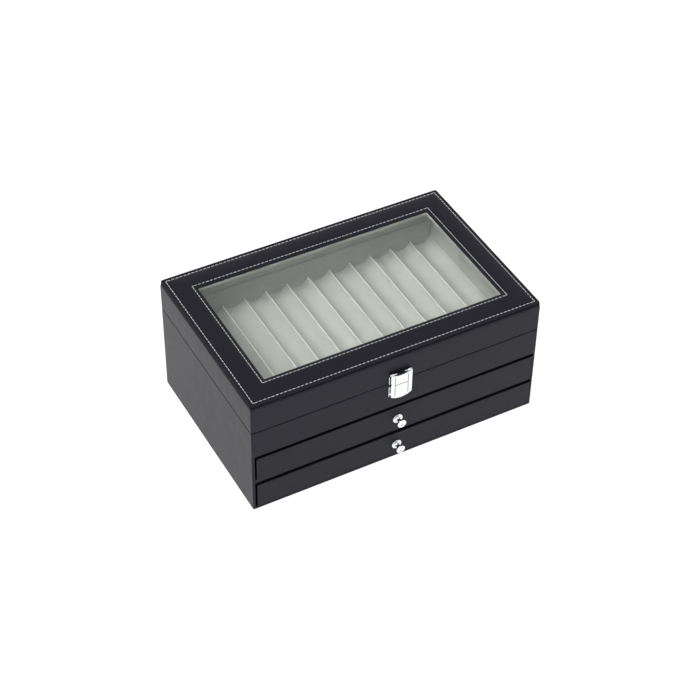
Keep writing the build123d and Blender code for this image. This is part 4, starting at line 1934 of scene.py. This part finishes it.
@dataclass
class Fittings(SubAssembly):
    """The small metal fittings of one body: hinge leaves, pins, clasp plates and screws.

    Attributes:
        eased: How far polished edges are eased.
        screw_eased: How far a screw's edges are eased.
        cross: How wide and how deep the cross in a screw is.
        apart: Less than the distance between two screws of a group.
        notch: Half the width of the notch in the lid's clasp plate.
    """

    eased: float = 0.15
    screw_eased: float = 0.12
    cross: tuple[float, float] = (1.9, 0.5)
    apart: float = 8.0
    notch: float = 8.4

    def fitting(self, node: str, finish: Finish) -> None:
        """Replaces a CAD fitting with its eased copy."""
        self.mount(self.refined(f"{node}_eased", node, self.eased), Slot.CHROME, finish, node)

    def screws(self, node: str, axis: int, face: float) -> None:
        """Replaces a group of CAD screws with cross-recessed ones.

        Args:
            node: The CAD node with the screws.
            axis: The axis that they lie along.
            face: Where their heads' faces lie on that axis.
        """
        piece = self.refined(f"{node}_crossed", node, self.screw_eased)
        near = 0.05
        points = [point.co / MM for point in piece.data.vertices]
        points = [point for point in points if abs(point[axis] - face) < near]
        across, other = 0, 3 - axis
        places = sorted({round(point[across] / self.apart) for point in points})
        for place in places:
            group = [point for point in points if round(point[across] / self.apart) == place]
            middle = [0.0, 0.0, 0.0]
            for i in (across, other):
                middle[i] = (min(p[i] for p in group) + max(p[i] for p in group)) / 2
            middle[axis] = face
            cut_cross(piece, tuple(middle), axis, *self.cross)
        self.mount(piece, Slot.STEEL, self.palette.steel, node)

    def notched_plate(self) -> None:
        """Replaces the lid's clasp plate, with the notch that shows between the knuckles."""
        node = Extent.of_node("clasp_plate")
        screws = Extent.of_node("clasp_plate_screws")
        piece = self.refined("clasp_plate_eased", "clasp_plate", self.eased)
        above_screws = screws.high[2] + 0.3
        low = (-self.notch, node.low[1] - OVER, above_screws)
        cut_block(piece, Extent(low, (self.notch, node.high[1] + OVER, node.high[2] + OVER)))
        finish_surface(piece)
        self.mount(piece, Slot.CHROME, self.palette.chrome, "clasp_plate")

    def build_case(self) -> None:
        """The fittings on the case."""
        for side in ("left", "right"):
            self.fitting(f"hinge_case_leaf_{side}", self.palette.nickel)
            self.fitting(f"hinge_pin_{side}", self.palette.nickel)
        self.fitting("clasp_catch", self.palette.chrome)
        self.screws("hinge_case_screws", 2, Extent.of_node("hinge_case_screws").high[2])
        self.screws("clasp_catch_screws", 1, Extent.of_node("clasp_catch_screws").low[1])

    def build_lid(self) -> None:
        """The fittings on the lid."""
        for side in ("left", "right"):
            self.fitting(f"hinge_lid_leaf_{side}", self.palette.nickel)
        self.notched_plate()
        self.fitting("clasp_pin", self.palette.chrome)
        self.screws("hinge_lid_screws", 2, Extent.of_node("hinge_lid_screws").low[2])
        self.screws("clasp_plate_screws", 1, Extent.of_node("clasp_plate_screws").low[1])


# Studio


@dataclass(frozen=True)
class StudioSurface(Finish):
    """Matt white studio paper, which the camera and every reflection see as white.

    Attributes:
        glow: The share of what the camera sees that doesn't depend on the light.
        mirrored: The same share for what reflections see.
        strength: How bright that share is.
    """

    glow: float = 1.0
    mirrored: float = 1.0
    strength: float = 1.0

    def build(self, tree: bpy.types.NodeTree) -> None:
        """Builds white paper that still takes the object's shadow.

        Args:
            tree: The empty node tree.
        """
        place = self.place(tree)
        tooth = add_node(
            tree, "ShaderNodeTexNoise", {"Vector": place, "Scale": per_mm(2.0), "Detail": 2.0}
        )
        rough = add_node(
            tree, "ShaderNodeBump", {"Strength": 0.1, "Distance": 0.05 * MM, "Height": tooth}
        )
        paper = add_node(tree, "ShaderNodeBsdfDiffuse", {"Color": linear(self.colour), "Normal": rough})
        white = add_node(tree, "ShaderNodeEmission", {"Color": (1, 1, 1, 1), "Strength": self.strength})
        path = add_node(tree, "ShaderNodeLightPath")
        seen = add_node(
            tree,
            "ShaderNodeMath",
            {0: path.outputs["Is Camera Ray"], 1: path.outputs["Is Transmission Ray"]},
            operation="MAXIMUM",
        )
        direct = add_node(tree, "ShaderNodeMath", {0: seen, 1: self.glow}, operation="MULTIPLY")
        bounced = add_node(
            tree,
            "ShaderNodeMath",
            {0: path.outputs["Is Glossy Ray"], 1: self.mirrored},
            operation="MULTIPLY",
        )
        share = add_node(tree, "ShaderNodeMath", {0: direct, 1: bounced}, operation="MAXIMUM")
        both = add_node(tree, "ShaderNodeMixShader", {0: share, 1: paper, 2: white})
        self.output(tree, both)


@dataclass
class Studio:
    """The floor, the far wall, the light and the camera.

    Attributes:
        wall: Radius and height of the wall's rings; the floor ends at the first.
        key: Strength of the soft light from the left.
        key_turn: Where it comes from: its angle from straight up, and its turn round the box.
        key_softness: How wide it is, in degrees.
        sky: The colour of the room above the wall.
        sky_strength: How bright the room is low down, and overhead.
        sky_rise: The sines of the elevations that it brightens between.
        focal_pixels: The camera's focal length in pixels of the photograph.
        photo_side: The photograph's side in pixels.
        azimuth: The camera's turn round the box, in degrees.
        elevation: Its height above the horizon, in degrees.
        roll: Its turn about its own axis, in degrees.
        distance: How far it stands from the middle of the base.
        aside: How far it is moved along its own right and up.
    """

    wall: tuple[tuple[float, float], ...] = (
        (8000.0, 0.0), (8500.0, 180.0), (8800.0, 700.0), (9000.0, 3300.0)
    )
    key: float = 1.9
    key_turn: tuple[float, float] = (31.0, 292.0)
    key_softness: float = 24.0
    sky: str = "#F4F5F8"
    sky_strength: tuple[float, float] = (0.5, 1.0)
    sky_rise: tuple[float, float] = (0.6, 1.0)
    focal_pixels: float = 1856.444
    photo_side: float = 700.0
    azimuth: float = -29.278
    elevation: float = 42.837
    roll: float = 1.096
    distance: float = 2028.157
    aside: tuple[float, float] = (2.621, 46.92)

    def build(self) -> None:
        """Sets up the whole studio."""
        self.set_floor()
        self.set_light()
        self.set_camera()

    def set_floor(self) -> None:
        """A round floor and the wall that closes it."""
        flats = 96
        floor = turned("studio_floor", self.wall[:1], flats)
        paper = StudioSurface("white studio paper", "#F6F6F6", glow=0.8, mirrored=0.5, strength=1.2)
        wall = turned("studio_wall", self.wall, flats, closed=False)
        for piece, finish in ((floor, paper), (wall, StudioSurface("white studio wall", "#F6F6F6"))):
            piece.data.materials.append(finish.material())

    def set_light(self) -> None:
        """One wide soft lamp and the even light of the room."""
        lamp = bpy.data.lights.new("softbox", "SUN")
        lamp.energy = self.key
        lamp.angle = math.radians(self.key_softness)
        holder = bpy.data.objects.new("softbox", lamp)
        tilt, turn = (math.radians(angle) for angle in self.key_turn)
        holder.rotation_euler = (tilt, 0.0, turn)
        bpy.context.scene.collection.objects.link(holder)
        world = bpy.data.worlds.new("studio room")
        world.use_nodes = True
        tree = world.node_tree
        tree.nodes.clear()
        way = add_node(tree, "ShaderNodeTexCoord")
        height = add_node(tree, "ShaderNodeSeparateXYZ", {0: way.outputs["Generated"]})
        strength = add_node(
            tree,
            "ShaderNodeMapRange",
            {
                "Value": height.outputs["Z"],
                "From Min": self.sky_rise[0],
                "From Max": self.sky_rise[1],
                "To Min": self.sky_strength[0],
                "To Max": self.sky_strength[1],
            },
        )
        room = add_node(tree, "ShaderNodeBackground", {"Color": linear(self.sky), "Strength": strength})
        add_node(tree, "ShaderNodeOutputWorld", {"Surface": room})
        bpy.context.scene.world = world

    def set_camera(self) -> None:
        """The camera at the photograph's viewpoint."""
        turn, rise = math.radians(self.azimuth), math.radians(self.elevation)
        back = Vector((math.sin(turn) * math.cos(rise), -math.cos(turn) * math.cos(rise), math.sin(rise)))
        level = Vector((math.cos(turn), math.sin(turn), 0.0))
        above = back.cross(level)
        roll = math.radians(self.roll)
        right = level * math.cos(roll) + above * math.sin(roll)
        up = above * math.cos(roll) - level * math.sin(roll)
        data = bpy.data.cameras.new("camera")
        data.sensor_width = 36.0
        data.lens = data.sensor_width * self.focal_pixels / self.photo_side
        data.clip_start, data.clip_end = 0.05, 100.0
        camera = bpy.data.objects.new("camera", data)
        bpy.context.scene.collection.objects.link(camera)
        place = (back * self.distance + right * self.aside[0] + up * self.aside[1]) * MM
        matrix = camera.matrix_world.copy()
        for column, axis in enumerate((right, up, back, place)):
            for row in range(3):
                matrix[row][column] = axis[row]
        camera.matrix_world = matrix
        bpy.context.scene.camera = camera


def main() -> None:
    """Builds the studio and the box, part by part."""
    logging.basicConfig(level=logging.INFO, format="%(message)s")
    bpy.context.scene.view_settings.view_transform = "Standard"
    Studio().build()
    palette = Palette()
    Case(palette, Body.CASE).build()
    Lid(palette, Body.LID).build()
    for body in (Body.LOWER_DRAWER, Body.UPPER_DRAWER):
        Drawer(palette, body).build()
    ClaspFlap(palette, Body.FLAP).build()
    Fittings(palette, Body.CASE).build_case()
    Fittings(palette, Body.LID).build_lid()


if __name__ == "__main__":
    main()
